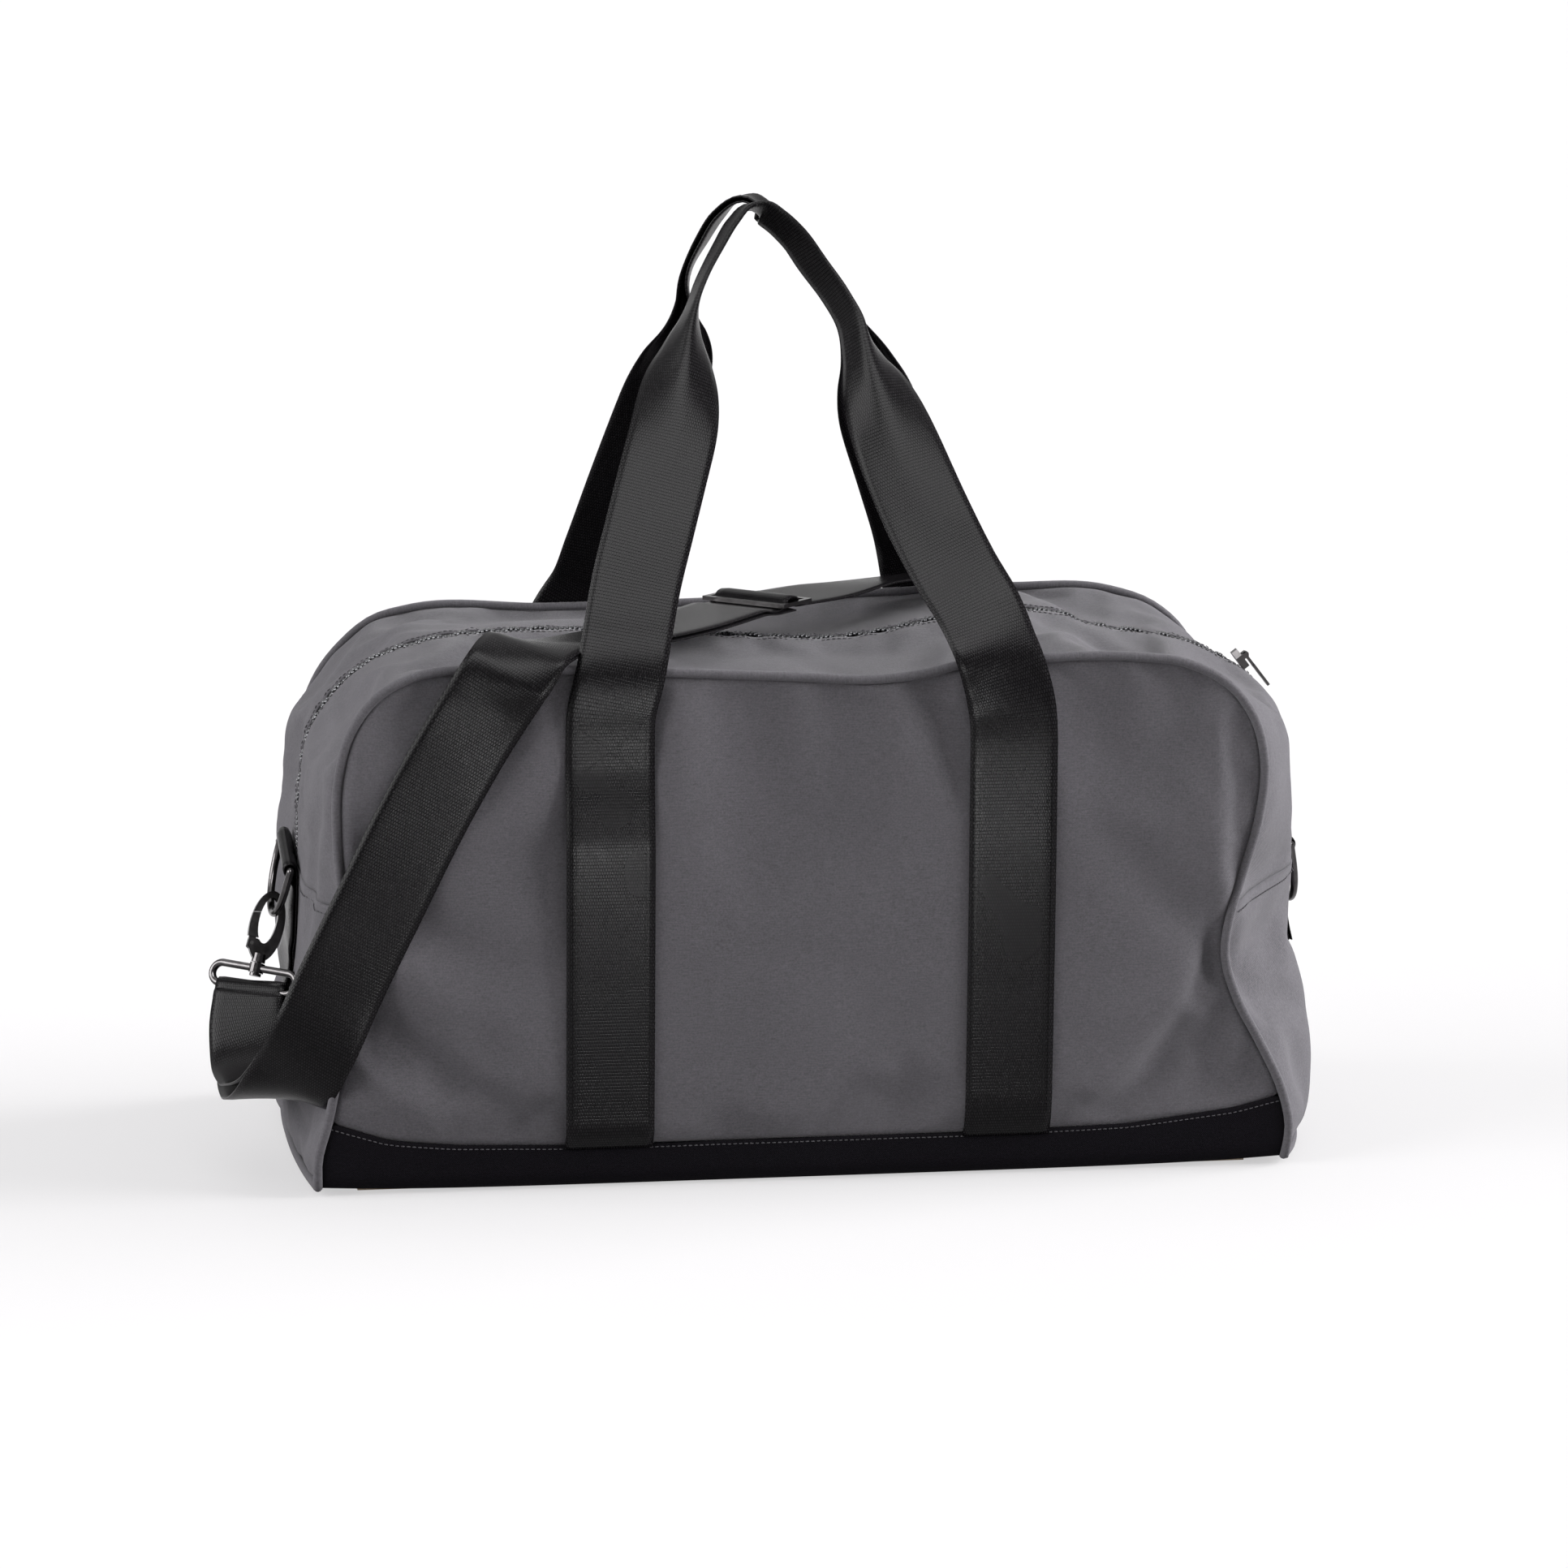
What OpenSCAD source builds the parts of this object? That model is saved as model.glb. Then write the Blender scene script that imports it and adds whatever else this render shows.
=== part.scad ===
// Soft weekend duffel bag: canvas panels piped together over a black base, a zip over the top,
// two webbing carry handles and a detachable webbing shoulder strap with swivel hooks.
// Frame: origin on the floor under the middle of the bag, +X along its length, -Y its front, +Z up.

/* [Bag] */
// Length over the piping at the base
bag_length = 560; // [550:5:570]
// Height of the gusset's top above the floor
bag_height = 296; // [292:1:300]
// Depth from front panel to back panel
bag_depth = 250; // [246:2:252]
// How far each end of a panel leans in between base and top corner
end_lean = 4; // [2:1:6]
// Radius of the panels' top corners
top_corner_r = 50; // [44:1:54]
// Radius of the panels' bottom corners
base_corner_r = 14; // [12:1:16]
// How far the left end bulges out at mid height
left_bulge = 9; // [6:1:10]
// How far the right end bulges out at mid height
right_bulge = 26; // [22:1:28]
// Thickness of the canvas
canvas_t = 1.6; // [1.2:0.1:1.8]
// Radius of the piping cord
piping_r = 3; // [2.6:0.1:3]
// Height that the base fabric turns up on front and back
base_rise = 28; // [24:1:32]
// Height of the seam between zip gusset and end panel
end_seam_z = 165; // [160:1:168]

/* [Webbing] */
// Width of all the webbing
web_w = 50; // [46:1:50]
// Thickness of all the webbing
web_t = 2; // [1.6:0.1:2]
// Half the distance between a handle's two legs
handle_x = 114; // [112:1:116]
// Height at which a handle leaves its panel
handle_free_z = 249; // [246:1:250]
// Width of the folded grip
grip_w = 25; // [22:1:26]
// Thickness of the folded grip
grip_t = 5; // [4:0.5:5]

/* [Hardware] */
// Radius of the wire in rings and loops
wire_r = 2.2; // [2:0.1:2.2]
// Half width of a ring or strap loop, wire centre to wire centre
ring_half_w = 28; // [28:0.5:29]
// Length of a D-ring's straight sides
ring_leg = 9.5; // [8:0.5:9.5]
// Distance from a strap loop's top bar to the ring wire in the hook
hook_reach = 37.5; // [37:0.5:38]
// How far a gate's lever stands from the hook's middle
gate_x = 7.6; // [7.4:0.1:7.8]

/* [Zip] */
// Half the width of the gap between the gusset's two halves
zip_gap = 7; // [6.5:0.5:8]
// Width of the closed teeth
teeth_w = 6; // [5:0.5:6]
// Where the slider is parked on the right shoulder, in degrees above +X
slider_angle = 38; // [30:1:50]

/* [Hidden] */
$fn = 32;
clear = 0.3; // gap between neighbouring sewn pieces
running = 0.06; // radial clearance of a pivot
half_d = bag_depth / 2;
half_l = bag_length / 2 - 2 * piping_r; // outline of the panels, inside the piping

// ---- Outline of the panels ----
// Four corner arcs joined by their outer tangents. An inset outline has smaller radii.

top_centre = [half_l - end_lean - top_corner_r, bag_height - top_corner_r];
base_centre = [half_l - base_corner_r, base_corner_r];
corner_step = top_centre - base_centre;
// Direction of the right end's outward normal, in degrees above +X
end_normal = atan2(corner_step.y, corner_step.x) - acos((base_corner_r - top_corner_r) / norm(corner_step));
base_seam_angle = -30; // where the end panel meets the base panel on the bottom corner

function arc(c, r, a0, a1, n) = [for (i = [0 : n]) let (a = a0 + (a1 - a0) * i / n) c + r * [cos(a), sin(a)]];

function mirrored(points) = [for (i = [len(points) - 1 : -1 : 0]) [-points[i].x, points[i].y]];

function reversed(points) = [for (i = [len(points) - 1 : -1 : 0]) points[i]];

// Point of the right end at height z, inset along its normal.
function end_point(z, inset) = let (
    foot = base_centre + base_corner_r * [cos(end_normal), sin(end_normal)]
) [foot.x - (z - foot.y) * tan(end_normal) - inset * cos(end_normal), z];

function shoulder(inset) = arc(top_centre, top_corner_r - inset, end_normal, 90, 8);

// From the right end at height z, over the top, to the left end at the same height.
function over_top(inset, z) = let (
    right = concat([end_point(z, inset), end_point((z + top_centre.y) / 2, inset)], shoulder(inset))
) concat(right, mirrored(right));

function outline(inset) = let (
    right = concat(arc(base_centre, base_corner_r - inset, -90, end_normal, 6), shoulder(inset))
) concat(right, mirrored(right));

// A slab of the outline standing between y0 and y1.
module slab(inset, y0, y1) {
    translate([0, y1, 0]) rotate([90, 0, 0]) linear_extrude(y1 - y0) polygon(outline(inset));
}

module box(low, high) {
    translate(low) cube(high - low);
}

// ---- Bulging shells ----

// How far the end surfaces stand out beyond the outline at a point.
function bulge(x, y, z) = let (
    rise = max(0, min(1, (z - base_corner_r) / (bag_height - base_corner_r)))
) (x > 0 ? right_bulge : -left_bulge) * (1 - pow(y / half_d, 2)) * sin(180 * rise);

// Skins a list of sections that all have the same even number of points. Each end is closed by
// quads between the section's first and second half.
module skin(sections) {
    k = len(sections[0]);
    last = len(sections) - 1;
    caps = [for (j = [0 : k / 2 - 2]) [j, j + 1, k - 2 - j, k - 1 - j]];
    polyhedron(
        points = [for (s = sections) for (p = s) p],
        faces = concat(
            [for (c = caps) [c[3], c[2], c[1], c[0]]],
            [for (i = [0 : last - 1]) for (j = [0 : k - 1]) [i * k + j, i * k + (j + 1) % k, (i + 1) * k + j]],
            [for (i = [0 : last - 1]) for (j = [0 : k - 1])
                [i * k + (j + 1) % k, (i + 1) * k + (j + 1) % k, (i + 1) * k + j]],
            [for (c = caps) [for (j = c) last * k + j]]
        )
    );
}

// A flat loop of outline points, drawn out along Y and pushed out by the bulge.
module bulging(loop, y0, y1, n) {
    skin([for (i = [0 : n]) let (y = y0 + (y1 - y0) * i / n)
        [for (p = loop) [p.x + bulge(p.x, y, p.y), y, p.y]]]);
}

// A strip of the gusset, t thick, between y0 and y1, down to height z at both ends.
module gusset_strip(inset, t, z, y0, y1, n) {
    bulging(concat(over_top(inset, z), reversed(over_top(inset + t, z))), y0, y1, n);
}

// ---- Ribbons and cords swept along a path ----
// A ribbon row is [x, y, z, width direction x, y, z, width, thickness, lift off the path].

function unit(v) = v / norm(v);

function blend(a, b, c, d, t) = 0.5 * (2 * b + (c - a) * t + (2 * a - 5 * b + 4 * c - d) * t * t
    + (3 * b - a - 3 * c + d) * t * t * t);

function smooth(rows, n) = let (last = len(rows) - 1) concat(
    [for (i = [0 : last - 1]) for (k = [0 : n - 1])
        blend(rows[max(i - 1, 0)], rows[i], rows[i + 1], rows[min(i + 2, last)], k / n)],
    [rows[last]]
);

function place_of(row) = [row[0], row[1], row[2]];

function heading(rows, i) = unit(place_of(rows[min(i + 1, len(rows) - 1)]) - place_of(rows[max(i - 1, 0)]));

// The four corners of a ribbon's section, in order round it.
function section(rows, i) = let (
    row = rows[i],
    t = heading(rows, i),
    n = unit(cross([row[3], row[4], row[5]], t)),
    w = cross(t, n) * row[6] / 2,
    h = n * row[7] / 2,
    p = place_of(row) + n * row[8]
) [p - w - h, p + w - h, p + w + h, p - w + h];

module ribbon(rows) {
    skin([for (i = [0 : len(rows) - 1]) section(rows, i)]);
}

// A round cord along a list of points. The direction up is never along the path.
module cord(points, r, up) {
    sides = 10;
    rows = points;
    skin([for (i = [0 : len(rows) - 1]) let (
        t = heading(rows, i),
        n = unit(cross(up, t)),
        w = cross(t, n)
    ) [for (j = [0 : sides - 1]) let (a = 360 * j / sides) points[i] + r * (cos(a) * w + sin(a) * n)]]);
}

// ---- Canvas body ----

module front_panel() {
    color("dimgray") intersection() {
        slab(0, -half_d, -half_d + canvas_t);
        box([-half_l, -half_d - 1, base_rise + clear], [half_l, 0, bag_height + 1]);
    }
}

module back_panel() {
    color("dimgray") mirror([0, 1, 0]) front_panel();
}

// The gusset is the band that carries the zip over the top and down both ends.
module front_gusset() {
    color("dimgray") gusset_strip(0, canvas_t, end_seam_z + clear, -half_d + canvas_t + clear, -zip_gap, 6);
}

module back_gusset() {
    color("dimgray") gusset_strip(0, canvas_t, end_seam_z + clear, zip_gap, half_d - canvas_t - clear, 6);
}

module right_end_panel() {
    outer = concat(
        arc(base_centre, base_corner_r, base_seam_angle, end_normal, 3),
        [for (z = [50 : 35 : 120]) end_point(z, 0)],
        [end_point(end_seam_z, 0)]
    );
    inner = concat(
        arc(base_centre, base_corner_r - canvas_t, base_seam_angle, end_normal, 3),
        [for (z = [50 : 35 : 120]) end_point(z, canvas_t)],
        [end_point(end_seam_z, canvas_t)]
    );
    color("dimgray") bulging(concat(outer, reversed(inner)),
        -half_d + canvas_t + clear, half_d - canvas_t - clear, 10);
}

module left_end_panel() {
    right = concat(
        arc(base_centre, base_corner_r, base_seam_angle, end_normal, 3),
        [for (z = [50 : 35 : 120]) end_point(z, 0)],
        [end_point(end_seam_z, 0)],
        [end_point(end_seam_z, canvas_t)],
        [for (z = [120 : -35 : 50]) end_point(z, canvas_t)],
        arc(base_centre, base_corner_r - canvas_t, end_normal, base_seam_angle, 3)
    );
    color("dimgray") bulging(mirrored(right),
        -half_d + canvas_t + clear, half_d - canvas_t - clear, 10);
}

// Heavy black fabric under the bag, turned up on front and back.
module base_panel() {
    seam_z = base_centre.y + base_corner_r * sin(base_seam_angle);
    color("black") {
        intersection() {
            difference() {
                slab(0, -half_d + canvas_t, half_d - canvas_t);
                slab(canvas_t, -half_d, half_d);
            }
            box([-half_l, -half_d, -1], [half_l, half_d, seam_z - clear]);
        }
        for (y = [-half_d, half_d - canvas_t]) intersection() {
            slab(0, y, y + canvas_t);
            box([-half_l, -half_d - 1, -1], [half_l, half_d + 1, base_rise]);
        }
    }
}

board_t = 2.5;
board_z = canvas_t + clear;

// Stiffener that lies loose inside on the base.
module base_board() {
    board = [2 * (base_centre.x - 4), bag_depth - 14, board_t];
    color("saddlebrown") translate([-board.x / 2, -board.y / 2, board_z]) cube(board);
}

lining_t = 0.6;

// Thin inner bag, open along the zip.
module lining() {
    inset = canvas_t + 2;
    floor_z = board_z + board_t + clear;
    color("gray") difference() {
        intersection() {
            slab(inset, -half_d + inset, half_d - inset);
            box([-half_l, -half_d, floor_z], [half_l, half_d, bag_height]);
        }
        intersection() {
            slab(inset + lining_t, -half_d + inset + lining_t, half_d - inset - lining_t);
            box([-half_l, -half_d, floor_z + lining_t], [half_l, half_d, bag_height]);
        }
        box([-half_l, -zip_gap - 8, end_seam_z], [half_l, zip_gap + 8, bag_height + 1]);
    }
}

// The cord runs round each panel's edge and along the foot of both ends.
module piping() {
    out = piping_r + 0.2;
    y = half_d - piping_r;
    rise = concat(
        arc(base_centre, base_corner_r + out, base_seam_angle, end_normal, 4),
        [for (z = [45 : 40 : 205]) end_point(z, -out)],
        arc(top_centre, top_corner_r + out, end_normal, 90, 10)
    );
    over = concat(rise, mirrored(rise));
    color("dimgray") {
        for (side = [-1, 1]) cord(
            [for (p = over) [p.x + bulge(p.x, half_d - 8, p.y), side * y, p.y]], piping_r, [0, 1, 0]
        );
        for (side = [-1, 1]) translate([side * rise[0].x, y, rise[0].y]) rotate([90, 0, 0])
            cylinder(h = 2 * y, r = piping_r);
    }
}

// ---- Zip ----

tape_t = 0.7;
tape_drop = 0.9; // gap between gusset and tape
zip_end_z = end_seam_z + 14;

module front_zip_tape() {
    color("black") gusset_strip(canvas_t + tape_drop, tape_t, zip_end_z, -zip_gap - 8, -0.6, 3);
}

module back_zip_tape() {
    color("black") gusset_strip(canvas_t + tape_drop, tape_t, zip_end_z, 0.6, zip_gap + 8, 3);
}

module front_zip_teeth() {
    color("black") gusset_strip(0, canvas_t, zip_end_z + 4, -teeth_w / 2, -0.1, 2);
}

module back_zip_teeth() {
    color("black") gusset_strip(0, canvas_t, zip_end_z + 4, 0.1, teeth_w / 2, 2);
}

// A stop across the teeth at each end of the zip.
module zip_end_stops() {
    z = zip_end_z + 1;
    p = end_point(z, 0);
    color("black") for (side = [-1, 1])
        translate([side * p.x + bulge(side, 0, z) - (side > 0 ? canvas_t : 0), -teeth_w / 2, z - 1])
            cube([canvas_t, teeth_w, 2]);
}

// The right shoulder's zip line is an arc about this point of the XZ plane.
shoulder_axis = [226, 236];
shoulder_r = 60;
slider_low = 1.2; // gap under the slider
slider = [12, 8, 4]; // along the zip, across it, away from it
bridge_z = slider.z + 2.2; // height of the pull's pivot
bridge_r = 0.8;

// Local frame of the slider: +X down the shoulder, +Z away from the bag.
module on_shoulder() {
    translate([shoulder_axis.x, 0, shoulder_axis.y]) rotate([0, 90 - slider_angle, 0])
        translate([0, 0, shoulder_r + slider_low]) children();
}

module zip_slider() {
    color("darkslategray") on_shoulder() {
        linear_extrude(slider.z) polygon([
            [-slider.x / 2, -2], [-slider.x / 6, -slider.y / 2], [slider.x / 2, -slider.y / 2],
            [slider.x / 2, slider.y / 2], [-slider.x / 6, slider.y / 2], [-slider.x / 2, 2]
        ]);
        for (y = [-3.2, 2]) translate([-1.5, y, slider.z - 0.1]) cube([3, 1.2, 3.4]);
        translate([0, 2.1, bridge_z]) rotate([90, 0, 0]) cylinder(h = 4.2, r = bridge_r);
    }
}

pull_length = 24;

// Flat pull that lies down the shoulder, away from the slider's bridge.
module zip_pull() {
    color("darkslategray") on_shoulder() translate([0, 0, bridge_z]) difference() {
        union() {
            translate([0, 1.6, 0]) rotate([90, 0, 0]) cylinder(h = 3.2, r = 2);
            translate([0, -1.6, -0.8]) cube([10, 3.2, 1.6]);
            translate([8, -2.4, -0.8]) cube([pull_length - 8 - 2.4, 4.8, 1.6]);
            translate([pull_length - 2.4, 0, -0.8]) cylinder(h = 1.6, r = 2.4);
        }
        translate([0, 3, 0]) rotate([90, 0, 0]) cylinder(h = 6, r = bridge_r + running);
        translate([pull_length - 3.4, 0, -2]) cylinder(h = 4, r = 1);
    }
}

// ---- Carry handles ----

leg_y = half_d + clear + web_t / 2; // middle of a leg sewn to a panel
fold_room = 4.5; // the webbing folds over between a sewn leg and the free loop

module front_handle_legs() {
    color("black") for (x = [-handle_x, handle_x])
        box([x - web_w / 2, -leg_y - web_t / 2, base_rise + clear],
            [x + web_w / 2, -leg_y + web_t / 2, handle_free_z - fold_room]);
}

module back_handle_legs() {
    color("black") mirror([0, 1, 0]) front_handle_legs();
}

apex_z = handle_free_z + 297;
grip_y = grip_w / 2 + 1;

// A handle's free loop starts straight up from its sewn leg.
function foot(side) = [side * handle_x, leg_y, handle_free_z + 0.5, -side, 0, 0, web_w, web_t, 0];

function with_feet(rows) = concat([foot(-1)], smooth(rows, 3), [foot(1)]);

// Rows of a handle seen from its own side: x, outward distance, z, width direction, width, thickness.
front_rows = [
    [-handle_x, leg_y, handle_free_z + 8, 1, 0, 0, web_w, web_t, 0],
    [-112, leg_y + 0.4, 278, 1, 0, 0, web_w, web_t, 0],
    [-106, leg_y + 1.4, 303, 1, 0, 0, web_w, web_t, 0],
    [-88, leg_y - 29, 368, 1, 0, 0, web_w, web_t, 0],
    [-71, leg_y - 57, 424, 1, 0.1, 0, 46, web_t, 0],
    [-60, leg_y - 79, 464, 0.8, 0.6, 0, 34, 3.4, 0],
    [-50, leg_y - 95, 496, 0.2, 1, 0, grip_w + 2, grip_t, 0],
    [-38, leg_y - 105, 522, 0, 1, 0, grip_w, grip_t, 0],
    [-18, grip_y, apex_z, 0, 1, 0, grip_w, grip_t, 0],
    [4, leg_y - 107, 528, 0, 1, 0, grip_w, grip_t, 0],
    [24, leg_y - 97, 503, -0.2, 1, 0, grip_w + 2, grip_t, 0],
    [42, leg_y - 80, 465, -0.8, 0.6, 0, 34, 3.4, 0],
    [58, leg_y - 58, 420, -1, 0.1, 0, 46, web_t, 0],
    [76, leg_y - 31, 368, -1, 0, 0, web_w, web_t, 0],
    [106, leg_y + 0.6, 303, -1, 0, 0, web_w, web_t, 0],
    [112, leg_y + 0.4, 278, -1, 0, 0, web_w, web_t, 0],
    [handle_x, leg_y, handle_free_z + 8, -1, 0, 0, web_w, web_t, 0]
];

// The back handle's right leg stands off the panel, because the shoulder strap runs under it.
back_rows = [
    [-handle_x, leg_y, handle_free_z + 8, 1, 0, 0, web_w, web_t, 0],
    [-110, leg_y + 0.8, 278, 1, 0, 0, web_w, web_t, 0],
    [-98, leg_y + 0.6, 303, 1, 0, 0, web_w, web_t, 0],
    [-76, leg_y - 29, 368, 1, 0, 0, web_w, web_t, 0],
    [-60, leg_y - 57, 424, 1, 0.1, 0, 46, web_t, 0],
    [-50, leg_y - 79, 464, 0.8, 0.6, 0, 34, 3.4, 0],
    [-42, leg_y - 95, 496, 0.2, 1, 0, grip_w + 2, grip_t, 0],
    [-32, leg_y - 105, 522, 0, 1, 0, grip_w, grip_t, 0],
    [-14, grip_y, apex_z, 0, 1, 0, grip_w, grip_t, 0],
    [10, leg_y - 107, 528, 0, 1, 0, grip_w, grip_t, 0],
    [34, leg_y - 97, 503, -0.2, 1, 0, grip_w + 2, grip_t, 0],
    [54, leg_y - 80, 465, -0.8, 0.6, 0, 34, 3.4, 0],
    [71, leg_y - 58, 420, -1, 0.1, 0, 46, web_t, 0],
    [90, leg_y - 29, 368, -1, 0, 0, web_w, web_t, 0],
    [108, leg_y + 7, 306, -1, 0, 0, web_w, web_t, 0],
    [112, leg_y + 6.4, 282, -1, 0, 0, web_w, web_t, 0],
    [handle_x, leg_y + 4.6, 268, -1, 0, 0, web_w, web_t, 0],
    [handle_x, leg_y + 0.3, handle_free_z + 6, -1, 0, 0, web_w, web_t, 0]
];

function facing(rows, side) = [for (r = rows)
    [r[0], side * r[1], r[2], r[3], side * r[4], r[5], r[6], r[7], r[8]]];

module front_handle() {
    color("black") ribbon(facing(with_feet(front_rows), -1));
}

module back_handle() {
    color("black") ribbon(facing(with_feet(back_rows), 1));
}

// ---- D-rings in webbing tabs ----

tab_gap = 0.6; // tab to the fullest part of the end
tube_r = wire_r + running + web_t;
left_ring_at = [-(end_point(150, 0).x + left_bulge + tab_gap + tube_r), 0, 173.5];
right_ring_at = [end_point(150, 0).x + right_bulge + tab_gap + tube_r, 0, 168];
left_tilt = 14; // the strap pulls the left ring's near side down
left_swing = 13.4; // and its foot out
right_swing = -9;

// Webbing tab: two layers sewn to the end below the tube that holds a ring's bar along Y.
module ring_tab(drop) {
    difference() {
        union() {
            translate([0, web_w / 2, 0]) rotate([90, 0, 0]) cylinder(h = web_w, r = tube_r);
            translate([0, -web_w / 2, -drop]) cube([tube_r, web_w, drop]);
        }
        translate([0, web_w, 0]) rotate([90, 0, 0]) cylinder(h = 2 * web_w, r = wire_r + running);
    }
}

module left_ring_tab() {
    color("black") translate(left_ring_at) rotate([left_tilt, 0, 0]) ring_tab(56);
}

module right_ring_tab() {
    color("black") translate(right_ring_at) mirror([1, 0, 0]) ring_tab(56);
}

// Bar along Y through the origin, the round of the D hanging below.
module d_ring() {
    translate([0, ring_half_w, 0]) rotate([90, 0, 0]) cylinder(h = 2 * ring_half_w, r = wire_r);
    for (y = [-ring_half_w, ring_half_w]) {
        translate([0, y, 0]) sphere(r = wire_r);
        translate([0, y, -ring_leg]) cylinder(h = ring_leg, r = wire_r);
    }
    translate([0, 0, -ring_leg]) rotate([0, 90, 0]) rotate([0, 0, -90])
        rotate_extrude(angle = 180) translate([ring_half_w, 0]) circle(r = wire_r);
}

module left_d_ring() {
    color("slategray") translate(left_ring_at) rotate([left_tilt, 0, 0]) rotate([0, left_swing, 0]) d_ring();
}

module right_d_ring() {
    color("slategray") translate(right_ring_at) rotate([0, right_swing, 0]) d_ring();
}

// ---- Swivel hooks ----
// Local frame: origin on the strap loop's top bar, +Z along the swivel axis to the ring wire,
// +X across the hook. The strap bar is loop_drop below.

loop_drop = 12;
stem_r = 2;

module strap_loop() {
    end_r = loop_drop / 2;
    bar = ring_half_w - end_r;
    difference() {
        union() {
            for (z = [0, -loop_drop]) translate([-bar, 0, z]) rotate([0, 90, 0]) cylinder(h = 2 * bar, r = wire_r);
            translate([0, 0, -2.8]) cylinder(h = 5.6, r = 4.4);
        }
        translate([0, 0, -5]) cylinder(h = 10, r = stem_r + running);
    }
    for (side = [-1, 1]) translate([side * bar, 0, -end_r]) rotate([90, 0, 0])
        rotate([0, 0, side > 0 ? -90 : 90]) rotate_extrude(angle = 180) translate([end_r, 0]) circle(r = wire_r);
}

hook_t = 5; // thickness of hook and gate
pivot = [-6.4, 13.6]; // gate pivot in the hook's plane
gate_top = 33;
pin_r = 1.1;
ring_play = 2.1; // room in the hook above the ring's wire, which crosses it at an angle

function oval(c, a, b, n) = [for (i = [0 : n - 1]) let (t = 360 * i / n) [a * cos(t), c + b * sin(t)]];

module hook_ring() {
    difference() {
        polygon(oval(24.8, 10, 21, 40));
        polygon(oval(hook_reach + wire_r + ring_play - 13.6, 5.2, 13.6, 32));
    }
}

module gate_region() {
    polygon([[-12, 11], [-2.6, 11], [-2.6, gate_top], [-12, gate_top - 2]]);
}

module in_hook_plane(t) {
    translate([0, t / 2, 0]) rotate([90, 0, 0]) linear_extrude(t) children();
}

module hook_body() {
    cheek = 1.2;
    difference() {
        union() {
            in_hook_plane(hook_t) difference() {
                hook_ring();
                gate_region();
            }
            translate([0, 0, 3.4]) cylinder(h = 5, r = 4);
            for (y = [-hook_t / 2, hook_t / 2 - cheek]) translate([0, y + cheek, 0]) rotate([90, 0, 0])
                linear_extrude(cheek) polygon([[-8.8, 11], [-4, 8], [0, 12], [-3.2, 16.6], [-8.6, 16.6]]);
        }
        translate([pivot.x, 5, pivot.y]) rotate([90, 0, 0]) cylinder(h = 10, r = pin_r + 0.01);
    }
    translate([0, 0, -3.4]) cylinder(h = 8, r = stem_r);
    translate([0, 0, -4.8]) cylinder(h = 1.6, r = 3.4);
}

module hook_gate() {
    inner = 2.2; // thickness between the hook's cheeks
    difference() {
        union() {
            in_hook_plane(hook_t - 0.4) intersection() {
                hook_ring();
                polygon([[-12, 17.4], [-3, 17.4], [-3, gate_top - 0.4], [-12, gate_top - 2.4]]);
            }
            translate([0, inner / 2, 0]) rotate([90, 0, 0]) linear_extrude(inner)
                polygon([[pivot.x - 1.9, pivot.y], [pivot.x + 1.9, pivot.y], [-4.4, 20], [-9, 20]]);
            translate([pivot.x, inner / 2, pivot.y]) rotate([90, 0, 0]) cylinder(h = inner, r = 1.9);
        }
        translate([pivot.x, 5, pivot.y]) rotate([90, 0, 0]) cylinder(h = 10, r = pin_r + running);
    }
}

module gate_pin() {
    translate([pivot.x, hook_t / 2, pivot.y]) rotate([90, 0, 0]) cylinder(h = hook_t, r = pin_r);
}

// The left hook leans from its strap loop to the foot of the left ring.
left_hook_at = [-303.7, -1.6, 105.1];
left_hook_lean = [-17, 15.6]; // about X, then about Y
loop_turn = -37; // the strap turns its loop on the swivel, clear of the bag

module at_left_hook() {
    translate(left_hook_at) rotate([0, left_hook_lean.y, 0]) rotate([left_hook_lean.x, 0, 0]) children();
}

// The right hook hangs free behind the bag.
right_hook_at = [184, 146, 66];

module at_right_hook() {
    translate(right_hook_at) rotate([180, 0, 0]) children();
}

module left_strap_loop() { color("slategray") at_left_hook() rotate([0, 0, loop_turn]) strap_loop(); }
module left_hook() { color("slategray") at_left_hook() hook_body(); }
module left_hook_gate() { color("slategray") at_left_hook() hook_gate(); }
module left_gate_pin() { color("silver") at_left_hook() gate_pin(); }
module right_strap_loop() { color("slategray") at_right_hook() strap_loop(); }
module right_hook() { color("slategray") at_right_hook() hook_body(); }
module right_hook_gate() { color("slategray") at_right_hook() hook_gate(); }
module right_gate_pin() { color("silver") at_right_hook() gate_pin(); }

// ---- Shoulder strap ----

wrap_r = wire_r + clear + web_t / 2; // middle of the webbing round a strap bar
layer = web_t / 2 + 0.3; // half the spacing of the doubled strap's layers

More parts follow.
